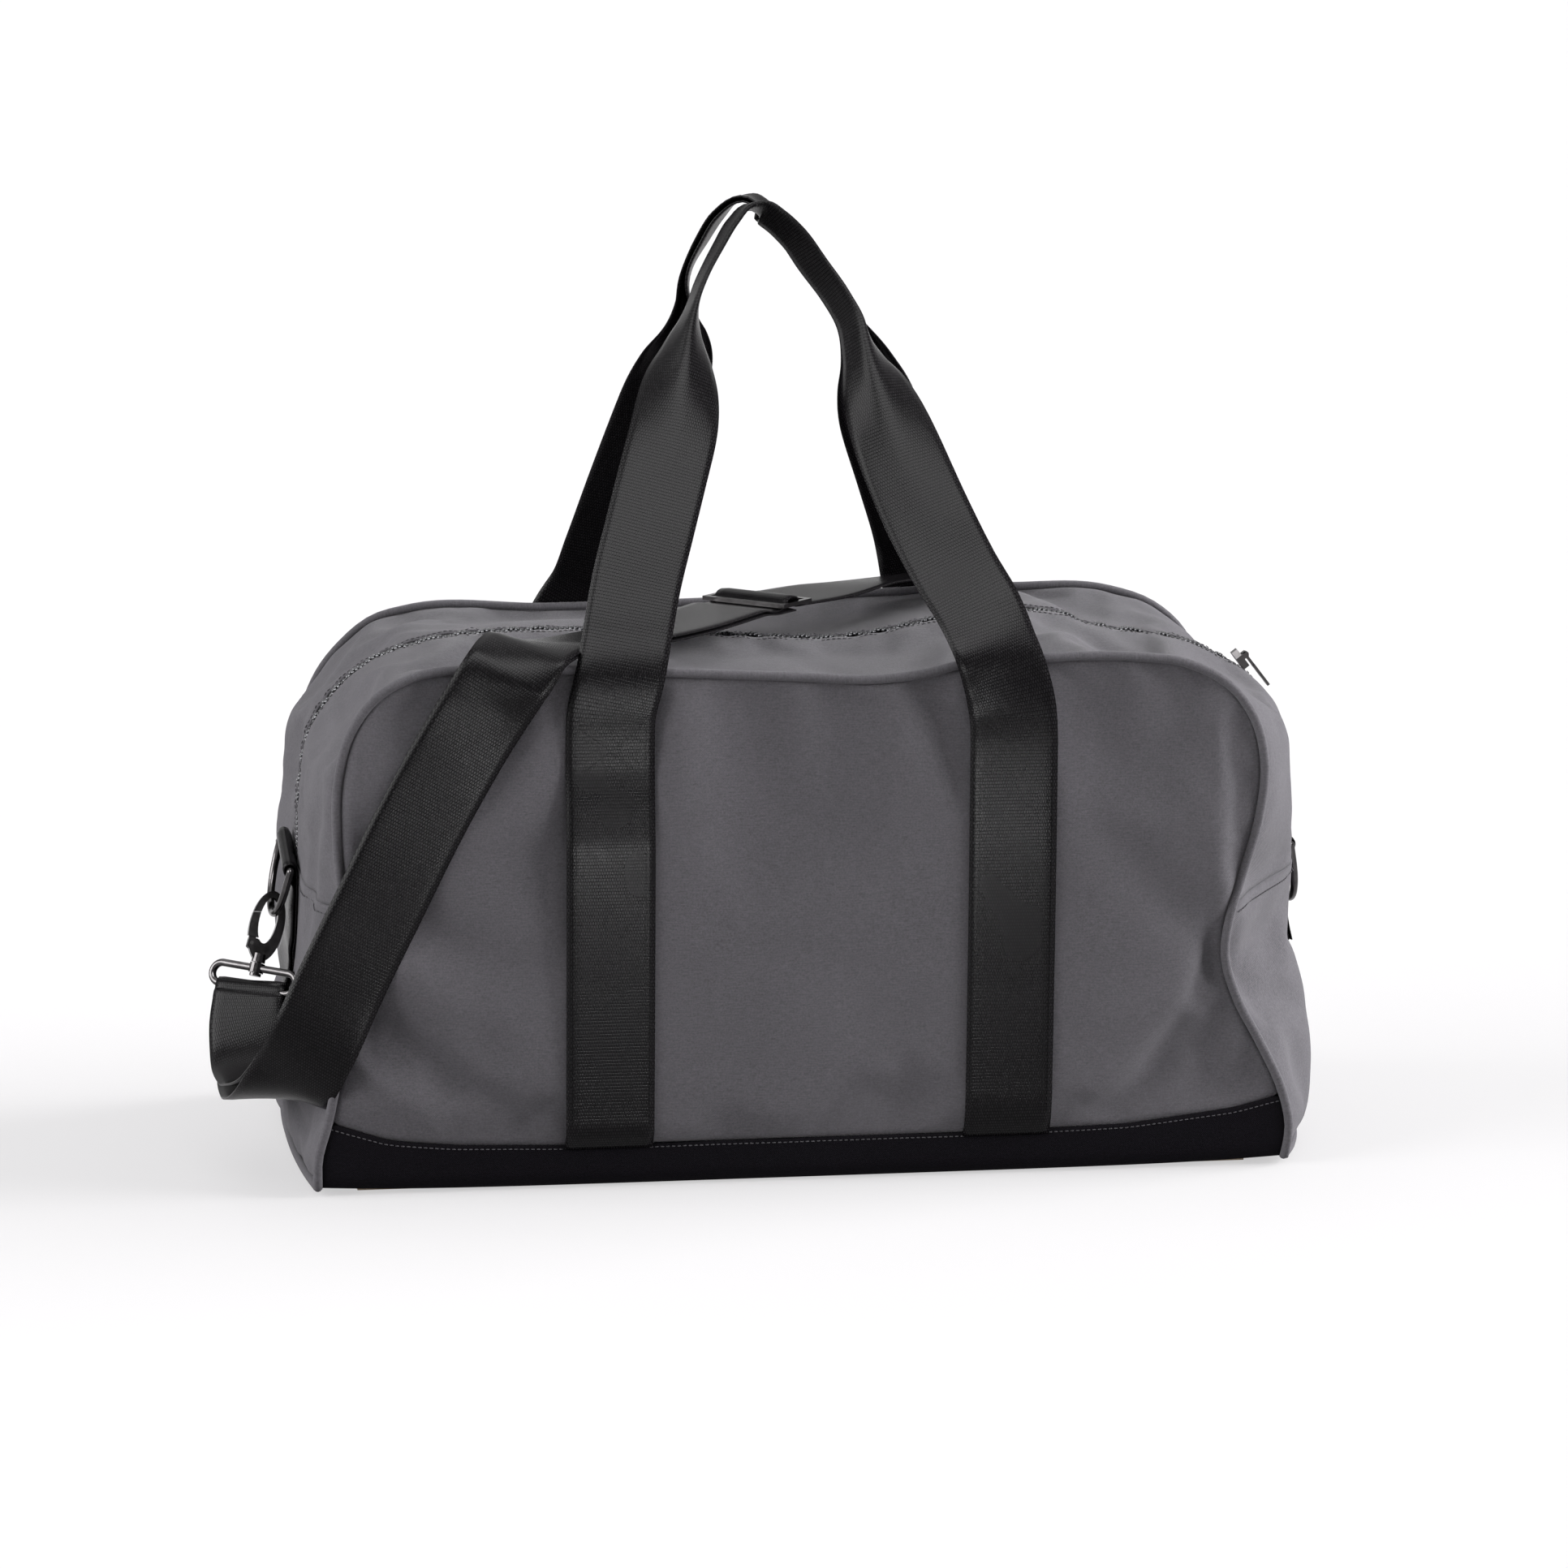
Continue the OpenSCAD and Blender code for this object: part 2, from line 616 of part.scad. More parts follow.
// Path of the doubled part, from the left strap loop to the adjuster.
doubled = [
    [-308, -6.2, 89.5, 0.84, -0.54, 0, web_w, web_t, wrap_r],
    [-309.5, -11, 76, 0.86, -0.5, -0.05, web_w, web_t, 3],
    [-312, -26, 64, 0.88, -0.4, -0.1, web_w, web_t, 1.6],
    [-314, -53, 59, 0.9, -0.38, -0.15, web_w, web_t, layer],
    [-311, -86, 62, 0.85, -0.45, -0.2, web_w, web_t, layer],
    [-300, -117, 74, 0.75, -0.55, -0.35, web_w, web_t, layer],
    [-284, -132, 96, 0.87, -0.12, -0.47, web_w, web_t, layer],
    [-266, -132, 127, 0.89, 0, -0.455, web_w, web_t, layer],
    [-246, -132, 165, 0.89, 0, -0.455, web_w, web_t, layer],
    [-212, -132, 232, 0.89, 0, -0.455, web_w, web_t, layer],
    [-184, -132, 279, 0.87, 0, -0.5, web_w, web_t, layer],
    [-171, -131.5, 298.5, 0.84, -0.2, -0.5, web_w, web_t, layer],
    [-161, -123, 308.5, 0.78, -0.5, -0.3, web_w, web_t, layer],
    [-146, -104, 308, 0.72, -0.7, 0, web_w, web_t, layer],
    [-105, -66, 305, 0.7, -0.7, 0, web_w, web_t, layer],
    [-64, -27, 305, 0.7, -0.7, 0, web_w, web_t, layer],
    [-26, 16, 307, 0.75, -0.66, 0, web_w, web_t, layer]
];

// The adjuster sits across the strap on top of the bag.
adjuster_at = [-6, 38, 309.5];
adjuster_turn = 48; // direction of the strap, in degrees from +X

function on_strap(u, z) = [adjuster_at.x + u * cos(adjuster_turn), adjuster_at.y + u * sin(adjuster_turn),
    adjuster_at.z + z, sin(adjuster_turn), -cos(adjuster_turn), 0, web_w, web_t, 0];

// The upper layer goes under the adjuster's outer bars and over its middle bar.
threaded = [
    on_strap(-16, -2.7), on_strap(-11, -2.4), on_strap(-8, 0), on_strap(-7, 3), on_strap(-3.6, 5),
    on_strap(3.6, 5), on_strap(7, 3), on_strap(8, 0), on_strap(11, -2.4), on_strap(16, -2.7)
];

// Path of the single part, from the adjuster over the back edge to the right strap loop.
single = [
    on_strap(20, -2.7),
    [38, 68, 308.5, 0.62, -0.78, 0, web_w, web_t, 0],
    [72, 88, 310.5, 0.62, -0.78, 0.12, web_w, web_t, 0],
    [98, 99, 311, 0.6, -0.8, 0.1, 48, web_t, 0],
    [114, 107, 310.5, 0.6, -0.8, 0.05, 44, web_t, 0],
    [125, 115, 309, 0.8, -0.6, 0, 40, web_t, 0],
    [131, 123, 305.5, 1, 0, 0, 38, web_t, 0],
    [135, 128, 298, 1, 0, 0, 38, web_t, 0],
    [143, 128.2, 289, 1, 0, 0.8, 38, web_t, 0],
    [156, 128.2, 279, 0.8, 0, 1, 40, web_t, 0],
    [171, 128.2, 266, 0.8, 0, 0.8, 44, web_t, 0],
    [181, 128.2, 244, 0.9, 0, 0.4, web_w, web_t, 0],
    [185, 128.6, 205, 1, 0, 0.1, web_w, web_t, 0],
    [184, 131, 150, 1, 0, 0, web_w, web_t, 0],
    [184, 137, 112, 1, 0, 0, web_w, web_t, 0],
    [184, 146, 86, 1, 0, 0, web_w, web_t, wrap_r * 0.6],
    [184, 146, 78, 1, 0, 0, web_w, web_t, wrap_r]
];

// Webbing turned round a strap bar that lies along X through the local origin. It gathers there.
module bar_wrap() {
    wrap_w = 2 * (ring_half_w - loop_drop / 2);
    rotate([0, 90, 0]) translate([0, 0, -wrap_w / 2]) difference() {
        cylinder(h = wrap_w, r = wrap_r + web_t / 2);
        translate([0, 0, -1]) cylinder(h = wrap_w + 2, r = wrap_r - web_t / 2);
    }
}

function lifted(rows, s) = [for (r = rows) [r[0], r[1], r[2], r[3], r[4], r[5], r[6], r[7], s * r[8]]];

module shoulder_strap() {
    lower_end = [for (u = [-14, -4, 4]) let (r = on_strap(u, -4.9)) r];
    color("black") {
        ribbon(concat(smooth(lifted(doubled, 1), 3), threaded, smooth(single, 3)));
        ribbon(concat(smooth(lifted(doubled, -1), 3), lower_end));
        at_left_hook() rotate([0, 0, loop_turn]) translate([0, 0, -loop_drop]) bar_wrap();
        at_right_hook() translate([0, 0, -loop_drop]) bar_wrap();
        translate(adjuster_at) rotate([0, 0, adjuster_turn]) difference() {
            box([-4.8, -web_w / 2, -5.4], [4.8, web_w / 2, 3.7]);
            box([-2.8, -web_w, -1.6], [2.8, web_w, 1.6]);
        }
    }
}

module strap_adjuster() {
    frame = [30, web_w + 7, 2.4];
    slot = [9, web_w + 1, 4];
    color("slategray") translate(adjuster_at) rotate([0, 0, adjuster_turn]) difference() {
        translate(-frame / 2) cube(frame);
        for (u = [-7, 7]) translate([u, 0, 0] - slot / 2) cube(slot);
    }
}

front_panel();
back_panel();
front_gusset();
back_gusset();
left_end_panel();
right_end_panel();
base_panel();
base_board();
lining();
piping();
front_zip_tape();
back_zip_tape();
front_zip_teeth();
back_zip_teeth();
zip_end_stops();
zip_slider();
zip_pull();
front_handle_legs();
back_handle_legs();
front_handle();
back_handle();
left_ring_tab();
right_ring_tab();
left_d_ring();
right_d_ring();
shoulder_strap();
strap_adjuster();
left_strap_loop();
left_hook();
left_hook_gate();
left_gate_pin();
right_strap_loop();
right_hook();
right_hook_gate();
right_gate_pin();
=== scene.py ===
"""Looks of the weekend duffel bag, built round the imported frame: +X along the bag, -Y its front, +Z up."""

import math

import bpy
import numpy as np
from mathutils import Matrix, Vector
from mathutils.bvhtree import BVHTree


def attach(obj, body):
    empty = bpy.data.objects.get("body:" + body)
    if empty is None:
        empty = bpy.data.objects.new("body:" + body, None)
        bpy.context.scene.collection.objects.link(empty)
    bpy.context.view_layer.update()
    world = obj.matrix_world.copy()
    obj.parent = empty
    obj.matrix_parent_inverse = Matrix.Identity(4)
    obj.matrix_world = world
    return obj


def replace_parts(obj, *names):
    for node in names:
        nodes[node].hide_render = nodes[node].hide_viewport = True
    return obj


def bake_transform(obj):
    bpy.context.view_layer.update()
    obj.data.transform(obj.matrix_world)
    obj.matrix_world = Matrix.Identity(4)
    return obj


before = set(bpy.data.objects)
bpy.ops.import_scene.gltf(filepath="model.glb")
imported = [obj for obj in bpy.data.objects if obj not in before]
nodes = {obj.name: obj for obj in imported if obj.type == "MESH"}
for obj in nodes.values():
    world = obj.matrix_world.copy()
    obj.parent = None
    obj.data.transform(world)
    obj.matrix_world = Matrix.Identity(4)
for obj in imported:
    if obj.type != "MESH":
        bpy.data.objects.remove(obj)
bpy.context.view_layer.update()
MM = 0.001  # shapes are worked out in millimetres and made in metres


# ---------------------------------------------------------------- materials

def new_material(name, base, roughness, metallic=0.0):
    mat = bpy.data.materials.new(name)
    mat.use_nodes = True
    bsdf = mat.node_tree.nodes["Principled BSDF"]
    bsdf.inputs["Base Color"].default_value = (*base, 1)
    bsdf.inputs["Roughness"].default_value = roughness
    bsdf.inputs["Metallic"].default_value = metallic
    return mat, mat.node_tree, bsdf


def add_node(tree, kind, **inputs):
    """A shader node with its inputs set by name, with _ for a space."""
    node = tree.nodes.new(kind)
    for key, value in inputs.items():
        node.inputs[key.replace("_", " ")].default_value = value
    return node


def math_node(tree, operation, a, b=0.0):
    node = tree.nodes.new("ShaderNodeMath")
    node.operation = operation
    for slot, value in zip(node.inputs, (a, b)):
        if isinstance(value, (int, float)):
            slot.default_value = value
        else:
            tree.links.new(value, slot)
    return node.outputs[0]


def texture_vector(tree, source, scale=(1, 1, 1)):
    coordinate = tree.nodes.new("ShaderNodeTexCoord")
    mapping = tree.nodes.new("ShaderNodeMapping")
    mapping.inputs["Scale"].default_value = scale
    tree.links.new(coordinate.outputs[source], mapping.inputs["Vector"])
    return mapping.outputs[0]


def ramp(tree, factor, stops):
    node = tree.nodes.new("ShaderNodeValToRGB")
    for element, (position, colour) in zip(node.color_ramp.elements, stops):
        element.position = position
        element.color = (*colour, 1)
    tree.links.new(factor, node.inputs[0])
    return node.outputs[0]


def bump(tree, bsdf, height, strength, distance, below=None):
    node = add_node(tree, "ShaderNodeBump", Strength=strength, Distance=distance)
    tree.links.new(height, node.inputs["Height"])
    if below is not None:
        tree.links.new(below, node.inputs["Normal"])
    tree.links.new(node.outputs[0], bsdf.inputs["Normal"])
    return node.outputs[0]


def threads(tree, uv, pitch):
    """Plain weave of two thread systems, as a height between 0 and 2."""
    split = tree.nodes.new("ShaderNodeSeparateXYZ")
    tree.links.new(uv, split.inputs[0])
    warp = math_node(tree, "SINE", math_node(tree, "MULTIPLY", split.outputs[0], 2 * math.pi / pitch))
    weft = math_node(tree, "SINE", math_node(tree, "MULTIPLY", split.outputs[1], 2 * math.pi / pitch))
    return math_node(tree, "ADD", math_node(tree, "MULTIPLY", warp, weft), 1.0)


def canvas_material(name, colour, contrast, pitch, roughness, sheen, shine=0.2):
    """Woven cotton: mottled yarn colour, a fine weave, slubs and a soft nap."""
    mat, tree, bsdf = new_material(name, colour, roughness)
    fine = add_node(tree, "ShaderNodeTexNoise", Scale=900.0, Detail=3.0, Roughness=0.7)
    broad = add_node(tree, "ShaderNodeTexNoise", Scale=7.0, Detail=4.0, Roughness=0.6)
    slub = add_node(tree, "ShaderNodeTexNoise", Scale=1.0, Detail=3.0, Roughness=0.6)
    place = texture_vector(tree, "Object")
    for node in (fine, broad):
        tree.links.new(place, node.inputs["Vector"])
    tree.links.new(texture_vector(tree, "UV", (160, 1400, 1)), slub.inputs["Vector"])
    mix = math_node(tree, "ADD", math_node(tree, "MULTIPLY", fine.outputs[0], 0.5),
                    math_node(tree, "MULTIPLY", slub.outputs[0], 0.3))
    mix = math_node(tree, "ADD", mix, math_node(tree, "MULTIPLY", broad.outputs[0], 0.2))
    dark = [c * (1 - contrast) for c in colour]
    light = [min(1, c * (1 + contrast)) for c in colour]
    tree.links.new(ramp(tree, mix, [(0.36, dark), (0.64, light)]), bsdf.inputs["Base Color"])
    weave = threads(tree, texture_vector(tree, "UV"), pitch)
    height = math_node(tree, "ADD", math_node(tree, "MULTIPLY", weave, 0.5), fine.outputs[0])
    bump(tree, bsdf, height, 0.55, 0.0004)
    bsdf.inputs["Sheen Weight"].default_value = sheen
    bsdf.inputs["Sheen Roughness"].default_value = 0.45
    bsdf.inputs["Specular IOR Level"].default_value = shine
    return mat


def webbing_material(name, dark, light, roughness):
    """Heavy webbing: staggered ribs across the band, with a painted highlight on each raised yarn and painted
    shade in the grooves between the ribs.
    """
    mat, tree, bsdf = new_material(name, dark, roughness)
    uv = texture_vector(tree, "UV")
    brick = tree.nodes.new("ShaderNodeTexBrick")
    brick.offset = 0.5
    for key, value in {"Scale": 1.0, "Mortar Size": 0.00042, "Mortar Smooth": 1.0, "Bias": 0.0,
                       "Brick Width": 0.00145, "Row Height": 0.00190}.items():
        brick.inputs[key].default_value = value
    # The bricks' colours paint a highlight on the raised yarns, and the black mortar paints shade in the
    # grooves between them.
    brick.inputs["Color1"].default_value = (1, 1, 1, 1)
    brick.inputs["Color2"].default_value = (0.72, 0.72, 0.72, 1)
    brick.inputs["Mortar"].default_value = (0, 0, 0, 1)
    tree.links.new(uv, brick.inputs["Vector"])
    fine = add_node(tree, "ShaderNodeTexNoise", Scale=2600.0, Detail=2.0)
    broad = add_node(tree, "ShaderNodeTexNoise", Scale=14.0, Detail=2.0)
    place = texture_vector(tree, "Object")
    tree.links.new(place, fine.inputs["Vector"])
    tree.links.new(place, broad.inputs["Vector"])
    # lift is both the ribs' height for the bump and, through the colour ramp below, their painted highlight
    # and shade.
    lift = math_node(tree, "MULTIPLY", brick.outputs["Color"],
                     math_node(tree, "ADD", math_node(tree, "MULTIPLY", fine.outputs[0], 0.8), 0.6))
    tree.links.new(ramp(tree, math_node(tree, "MULTIPLY", lift, 0.8), [(0.25, dark), (1.0, light)]),
                   bsdf.inputs["Base Color"])
    rough = math_node(tree, "ADD", math_node(tree, "MULTIPLY", broad.outputs[0], 0.16), roughness - 0.08)
    tree.links.new(rough, bsdf.inputs["Roughness"])
    bump(tree, bsdf, lift, 0.7, 0.00009)
    bsdf.inputs["Specular IOR Level"].default_value = 0.09
    return mat


def metal_material(name, colour, roughness):
    """Polished dark nickel with faint wear."""
    mat, tree, bsdf = new_material(name, colour, roughness, 1.0)
    noise = add_node(tree, "ShaderNodeTexNoise", Scale=260.0, Detail=4.0)
    tree.links.new(texture_vector(tree, "Object"), noise.inputs["Vector"])
    rough = math_node(tree, "ADD", math_node(tree, "MULTIPLY", noise.outputs[0], 0.14), roughness - 0.07)
    tree.links.new(rough, bsdf.inputs["Roughness"])
    worn = [min(1, c * 1.5) for c in colour]
    tree.links.new(ramp(tree, noise.outputs[0], [(0.35, colour), (0.75, worn)]), bsdf.inputs["Base Color"])
    bump(tree, bsdf, noise.outputs[0], 0.08, 0.0002)
    return mat


def thread_material(name, colour):
    mat, tree, bsdf = new_material(name, colour, 0.6)
    bsdf.inputs["Specular IOR Level"].default_value = 0.1
    wave = add_node(tree, "ShaderNodeTexWave", Scale=900.0, Distortion=1.0)
    tree.links.new(texture_vector(tree, "Object"), wave.inputs["Vector"])
    light = [min(1, c * 1.6) for c in colour]
    tree.links.new(ramp(tree, wave.outputs["Fac"], [(0.2, colour), (0.9, light)]), bsdf.inputs["Base Color"])
    bump(tree, bsdf, wave.outputs["Fac"], 0.4, 0.0002)
    return mat


def board_material(name, colour):
    mat, tree, bsdf = new_material(name, colour, 0.8)
    noise = add_node(tree, "ShaderNodeTexNoise", Scale=300.0, Detail=5.0)
    tree.links.new(texture_vector(tree, "Object", (1, 4, 1)), noise.inputs["Vector"])
    dark = [c * 0.7 for c in colour]
    tree.links.new(ramp(tree, noise.outputs[0], [(0.3, dark), (0.7, colour)]), bsdf.inputs["Base Color"])
    bump(tree, bsdf, noise.outputs[0], 0.3, 0.0003)
    return mat


CANVAS = canvas_material("canvas", (0.076, 0.0725, 0.080), 0.30, 0.0009, 0.85, 0.08, 0.1)
BASE = canvas_material("base_fabric", (0.0042, 0.0036, 0.0050), 0.35, 0.0012, 0.8, 0.0, 0.03)
LINING = canvas_material("lining", (0.08, 0.08, 0.085), 0.2, 0.0006, 0.8, 0.2)
WEBBING = webbing_material("webbing", (0.0012, 0.0010, 0.0013), (0.0135, 0.0124, 0.0136), 0.25)
TAPE = canvas_material("zip_tape", (0.012, 0.012, 0.013), 0.3, 0.0008, 0.75, 0.1)
TEETH = metal_material("zip_teeth", (0.10, 0.10, 0.105), 0.38)
METAL = metal_material("gunmetal", (0.066, 0.063, 0.064), 0.2)
PIN = metal_material("pin", (0.16, 0.155, 0.155), 0.22)
GREY_THREAD = thread_material("grey_thread", (0.045, 0.043, 0.047))
BLACK_THREAD = thread_material("black_thread", (0.0045, 0.0042, 0.0048))
BOARD = board_material("board", (0.20, 0.15, 0.10))


# ---------------------------------------------------------------- mesh helpers

def make(name, points, faces, material, body, uv=None):
    """One piece from points in millimetres, riding on a body when one is given."""
    mesh = bpy.data.meshes.new(name)
    corners = [tuple(p * MM) for p in np.asarray(points, float)]
    mesh.from_pydata(corners, [], [tuple(map(int, f)) for f in faces])
    if uv is not None:
        layer = mesh.uv_layers.new(name="metres")
        index = np.zeros(len(mesh.loops), int)
        mesh.loops.foreach_get("vertex_index", index)
        layer.data.foreach_set("uv", (np.asarray(uv, float)[index, :2] * MM).ravel())
    mesh.polygons.foreach_set("use_smooth", [True] * len(mesh.polygons))
    mesh.materials.append(material)
    mesh.validate()
    obj = bpy.data.objects.new(name, mesh)
    bpy.context.scene.collection.objects.link(obj)
    if body:
        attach(obj, body)
    return obj


def spline(points, n):
    """Smooth curve through rows of numbers, n samples evenly spaced along the first three columns."""
    p = np.array(points, float)
    d = np.linalg.norm(np.diff(p[:, :3], axis=0), axis=1)
    t = np.concatenate([[0], np.cumsum(d)])
    slope = np.diff(p, axis=0) / d[:, None]
    inner = (slope[1:] * d[:-1, None] + slope[:-1] * d[1:, None]) / (d[1:] + d[:-1])[:, None]
    m = np.vstack([slope[:1], inner, slope[-1:]])
    s = np.linspace(0, t[-1], n)
    k = np.clip(np.searchsorted(t, s, side="right") - 1, 0, len(d) - 1)
    h, u = d[k], ((s - t[k]) / d[k])[:, None]
    h = h[:, None]
    return ((2 * u**3 - 3 * u**2 + 1) * p[k] + (u**3 - 2 * u**2 + u) * h * m[k]
            + (3 * u**2 - 2 * u**3) * p[k + 1] + (u**3 - u**2) * h * m[k + 1])


def unit(v):
    """Vectors at length 1."""
    return v / np.maximum(np.linalg.norm(v, axis=-1, keepdims=True), 1e-9)


def headings(path):
    return unit(np.gradient(path, axis=0))


def grid_faces(rows, cols, wrap=False):
    """Faces between rows of points, closed across the rows where they wrap."""
    faces = []
    for i in range(rows - 1):
        for j in range(cols if wrap else cols - 1):
            k = (j + 1) % cols
            faces.append((i * cols + j, i * cols + k, (i + 1) * cols + k, (i + 1) * cols + j))
    return faces


def lengths(path):
    """Distance run along a path at each of its points."""
    return np.concatenate([[0], np.cumsum(np.linalg.norm(np.diff(path, axis=0), axis=1))])


def sleeve(rows, sides):
    """Faces of a closed tube of rows of points, with both ends capped."""
    caps = [tuple(range(sides))[::-1], tuple((rows - 1) * sides + j for j in range(sides))]
    return grid_faces(rows, sides, wrap=True) + caps


def cord(name, path, radius, up):
    """Round cord covered in canvas."""
    sides = 12
    t = headings(path)
    n = unit(np.cross(np.asarray(up, float), t))
    w = np.cross(t, n)
    a = np.linspace(0, 2 * math.pi, sides, endpoint=False)
    ring = np.cos(a)[None, :, None] * w[:, None] + np.sin(a)[None, :, None] * n[:, None]
    pts = path[:, None] + radius * ring
    uv = np.stack(np.broadcast_arrays((a * radius)[None, :], lengths(path)[:, None]), -1).reshape(-1, 2)
    return make(name, pts.reshape(-1, 3), sleeve(len(path), sides), CANVAS, "shell", uv)


def bead_faces(count):
    """Faces of small beads of four rows of four points, one bead after another."""
    return [tuple(16 * bead + i for i in face) for bead in range(count) for face in sleeve(4, 4)]


def along(path, run, at):
    """Places on a path at the given distances along it."""
    return np.stack([np.interp(at, run, path[:, k]) for k in range(3)], -1)


STITCH_PITCH = 3.2
STITCH_LENGTH = 2.2
STITCH_ROWS = ((-1, 0.25), (-0.6, 0.9), (0.6, 0.9), (1, 0.25))  # place along the stitch, thickness
STITCH_SECTION = ((-1, -0.6), (-0.55, 0.75), (0.55, 0.75), (1, -0.6))  # across, up


def stitches(name, lines, body, material, slot, r):
    """Rows of sewing thread of radius r. Each line is (path, outward normals)."""
    pts = []
    for path, normal in lines:
        run = lengths(path)
        at = np.arange(STITCH_PITCH / 2, run[-1] - STITCH_PITCH / 2, STITCH_PITCH)
        centre = along(path, run, at)
        out = unit(along(normal, run, at))
        t = unit(along(path, run, at + 0.5) - centre)
        for c, o, d, s in zip(centre, out, t, np.cross(out, t)):
            for place, thick in STITCH_ROWS:
                for u, v in STITCH_SECTION:
                    pts.append(c + d * place * STITCH_LENGTH / 2 + s * u * r * thick + o * v * r * thick)
    return make(name, pts, bead_faces(len(pts) // 16), material, body)


# ---------------------------------------------------------------- the bag's surface
# Three rails run from the left foot over the top to the right foot: along the front seam, along the
# middle and along the back seam. Points marked with an anchor number lie on the same station.

FRONT_RAIL = [
    (-277, 5, 0), (-277, 20), (-271, 43, 1), (-264, 80), (-260, 120), (-261, 160, 2), (-265, 205),
    (-264, 238), (-256, 266), (-243, 283, 3), (-220, 295), (-188, 297.5), (-109, 295), (-36, 291.5),
    (0, 289.5, 4), (36, 287.5), (62, 290), (90, 296), (120, 297.5), (185, 297.5), (214, 293.5),
    (238, 281, 5), (253, 262), (259.5, 238), (257, 205), (248, 172), (243, 155, 6), (239, 124), (247, 98),
    (260, 74), (275, 42, 7), (279, 24), (277, 5, 8),
]
MIDDLE_RAIL = [
    (-284, 5, 0), (-288, 20), (-288, 43, 1), (-284, 90), (-281, 120), (-280, 166, 2), (-279.5, 195),
    (-278, 218), (-272, 245), (-257, 268, 3), (-238, 284), (-208, 295), (-160, 300.5), (-109, 300.5),
    (-50, 297), (0, 294, 4), (30, 293), (60, 296), (90, 302), (120, 305.5), (148, 307), (168, 304.5),
    (182, 299), (197, 295.5), (214, 293), (242, 287), (264, 277, 5), (281, 266), (290, 252), (293, 231),
    (295, 205), (296, 184), (297, 167, 6), (297.5, 148), (299, 126), (304, 104), (309, 80), (311, 42, 7),
    (311, 22), (303, 5, 8),
]
BACK_RAIL = [
    (-276, 5, 0), (-279, 20), (-276, 43, 1), (-270, 90), (-266, 160, 2), (-264, 205), (-262, 238),
    (-254, 256), (-242, 271, 3), (-223, 286), (-203, 291.5), (-122, 291), (-40, 292), (0, 293, 4),
    (80, 296), (163, 298.5), (222, 296), (250, 286, 5), (268, 270), (277, 250), (279, 205), (276, 160, 6),
    (273, 110), (275, 75), (279, 42, 7), (281, 20), (276, 5, 8),
]
STEPS = [6, 16, 22, 36, 36, 22, 16, 6]  # stations between anchors
FOOT = STEPS[0]  # stations up to the top of the base
SIDE = sum(STEPS[:3])  # stations up one side of a panel
TOP = STEPS[3] + STEPS[4]  # stations across its top
LAST = sum(STEPS)
# Stations where the end panels meet the gusset.
SEAM_LEFT, SEAM_RIGHT = FOOT + STEPS[1], LAST - STEPS[6] - STEPS[7]
FOLD = 124.0  # distance of the panel seams from the middle
GAP = 5.5  # half the opening between the gusset's halves


def rail(points):
    """The x and z of a rail's stations."""
    dense = spline([(p[0], 0, p[1]) for p in points], 40 * len(points))
    run = lengths(dense)
    marks = [run[np.argmin(np.hypot(dense[:, 0] - p[0], dense[:, 2] - p[1]))] for p in points if len(p) == 3]
    spans = [np.linspace(a, b, n, endpoint=False) for a, b, n in zip(marks, marks[1:], STEPS)]
    return along(dense, run, np.concatenate(spans + [marks[-1:]]))[:, [0, 2]]


front_rail, middle_rail, back_rail = rail(FRONT_RAIL), rail(MIDDLE_RAIL), rail(BACK_RAIL)
# Places across the band, from -1 at the front seam to 1 at the back seam.
half = np.concatenate([np.linspace(-1, -0.86, 4), np.linspace(-0.80, -GAP / FOLD, 13)])
across = np.concatenate([half, [0], -half[::-1]])
COLS = len(across)
MID = COLS // 2

pool = []  # every point of the bag's surface


def band_point(i, v):
    """The gusset and ends between their rails, fuller towards the seams."""
    w = 1 - abs(v) ** 2.2
    side = front_rail[i] if v < 0 else back_rail[i]
    x, z = side * (1 - w) + middle_rail[i] * w
    return (x, v * FOLD, z)


band = np.zeros((LAST + 1, COLS), int)
for i in range(LAST + 1):
    for j, v in enumerate(across):
        band[i, j] = len(pool)
        pool.append(band_point(i, v))


def base_line(u):
    """Height of the bottom's edge: its corners stand a little higher."""
    return 1.2 + 4 * abs(2 * u - 1) ** 5


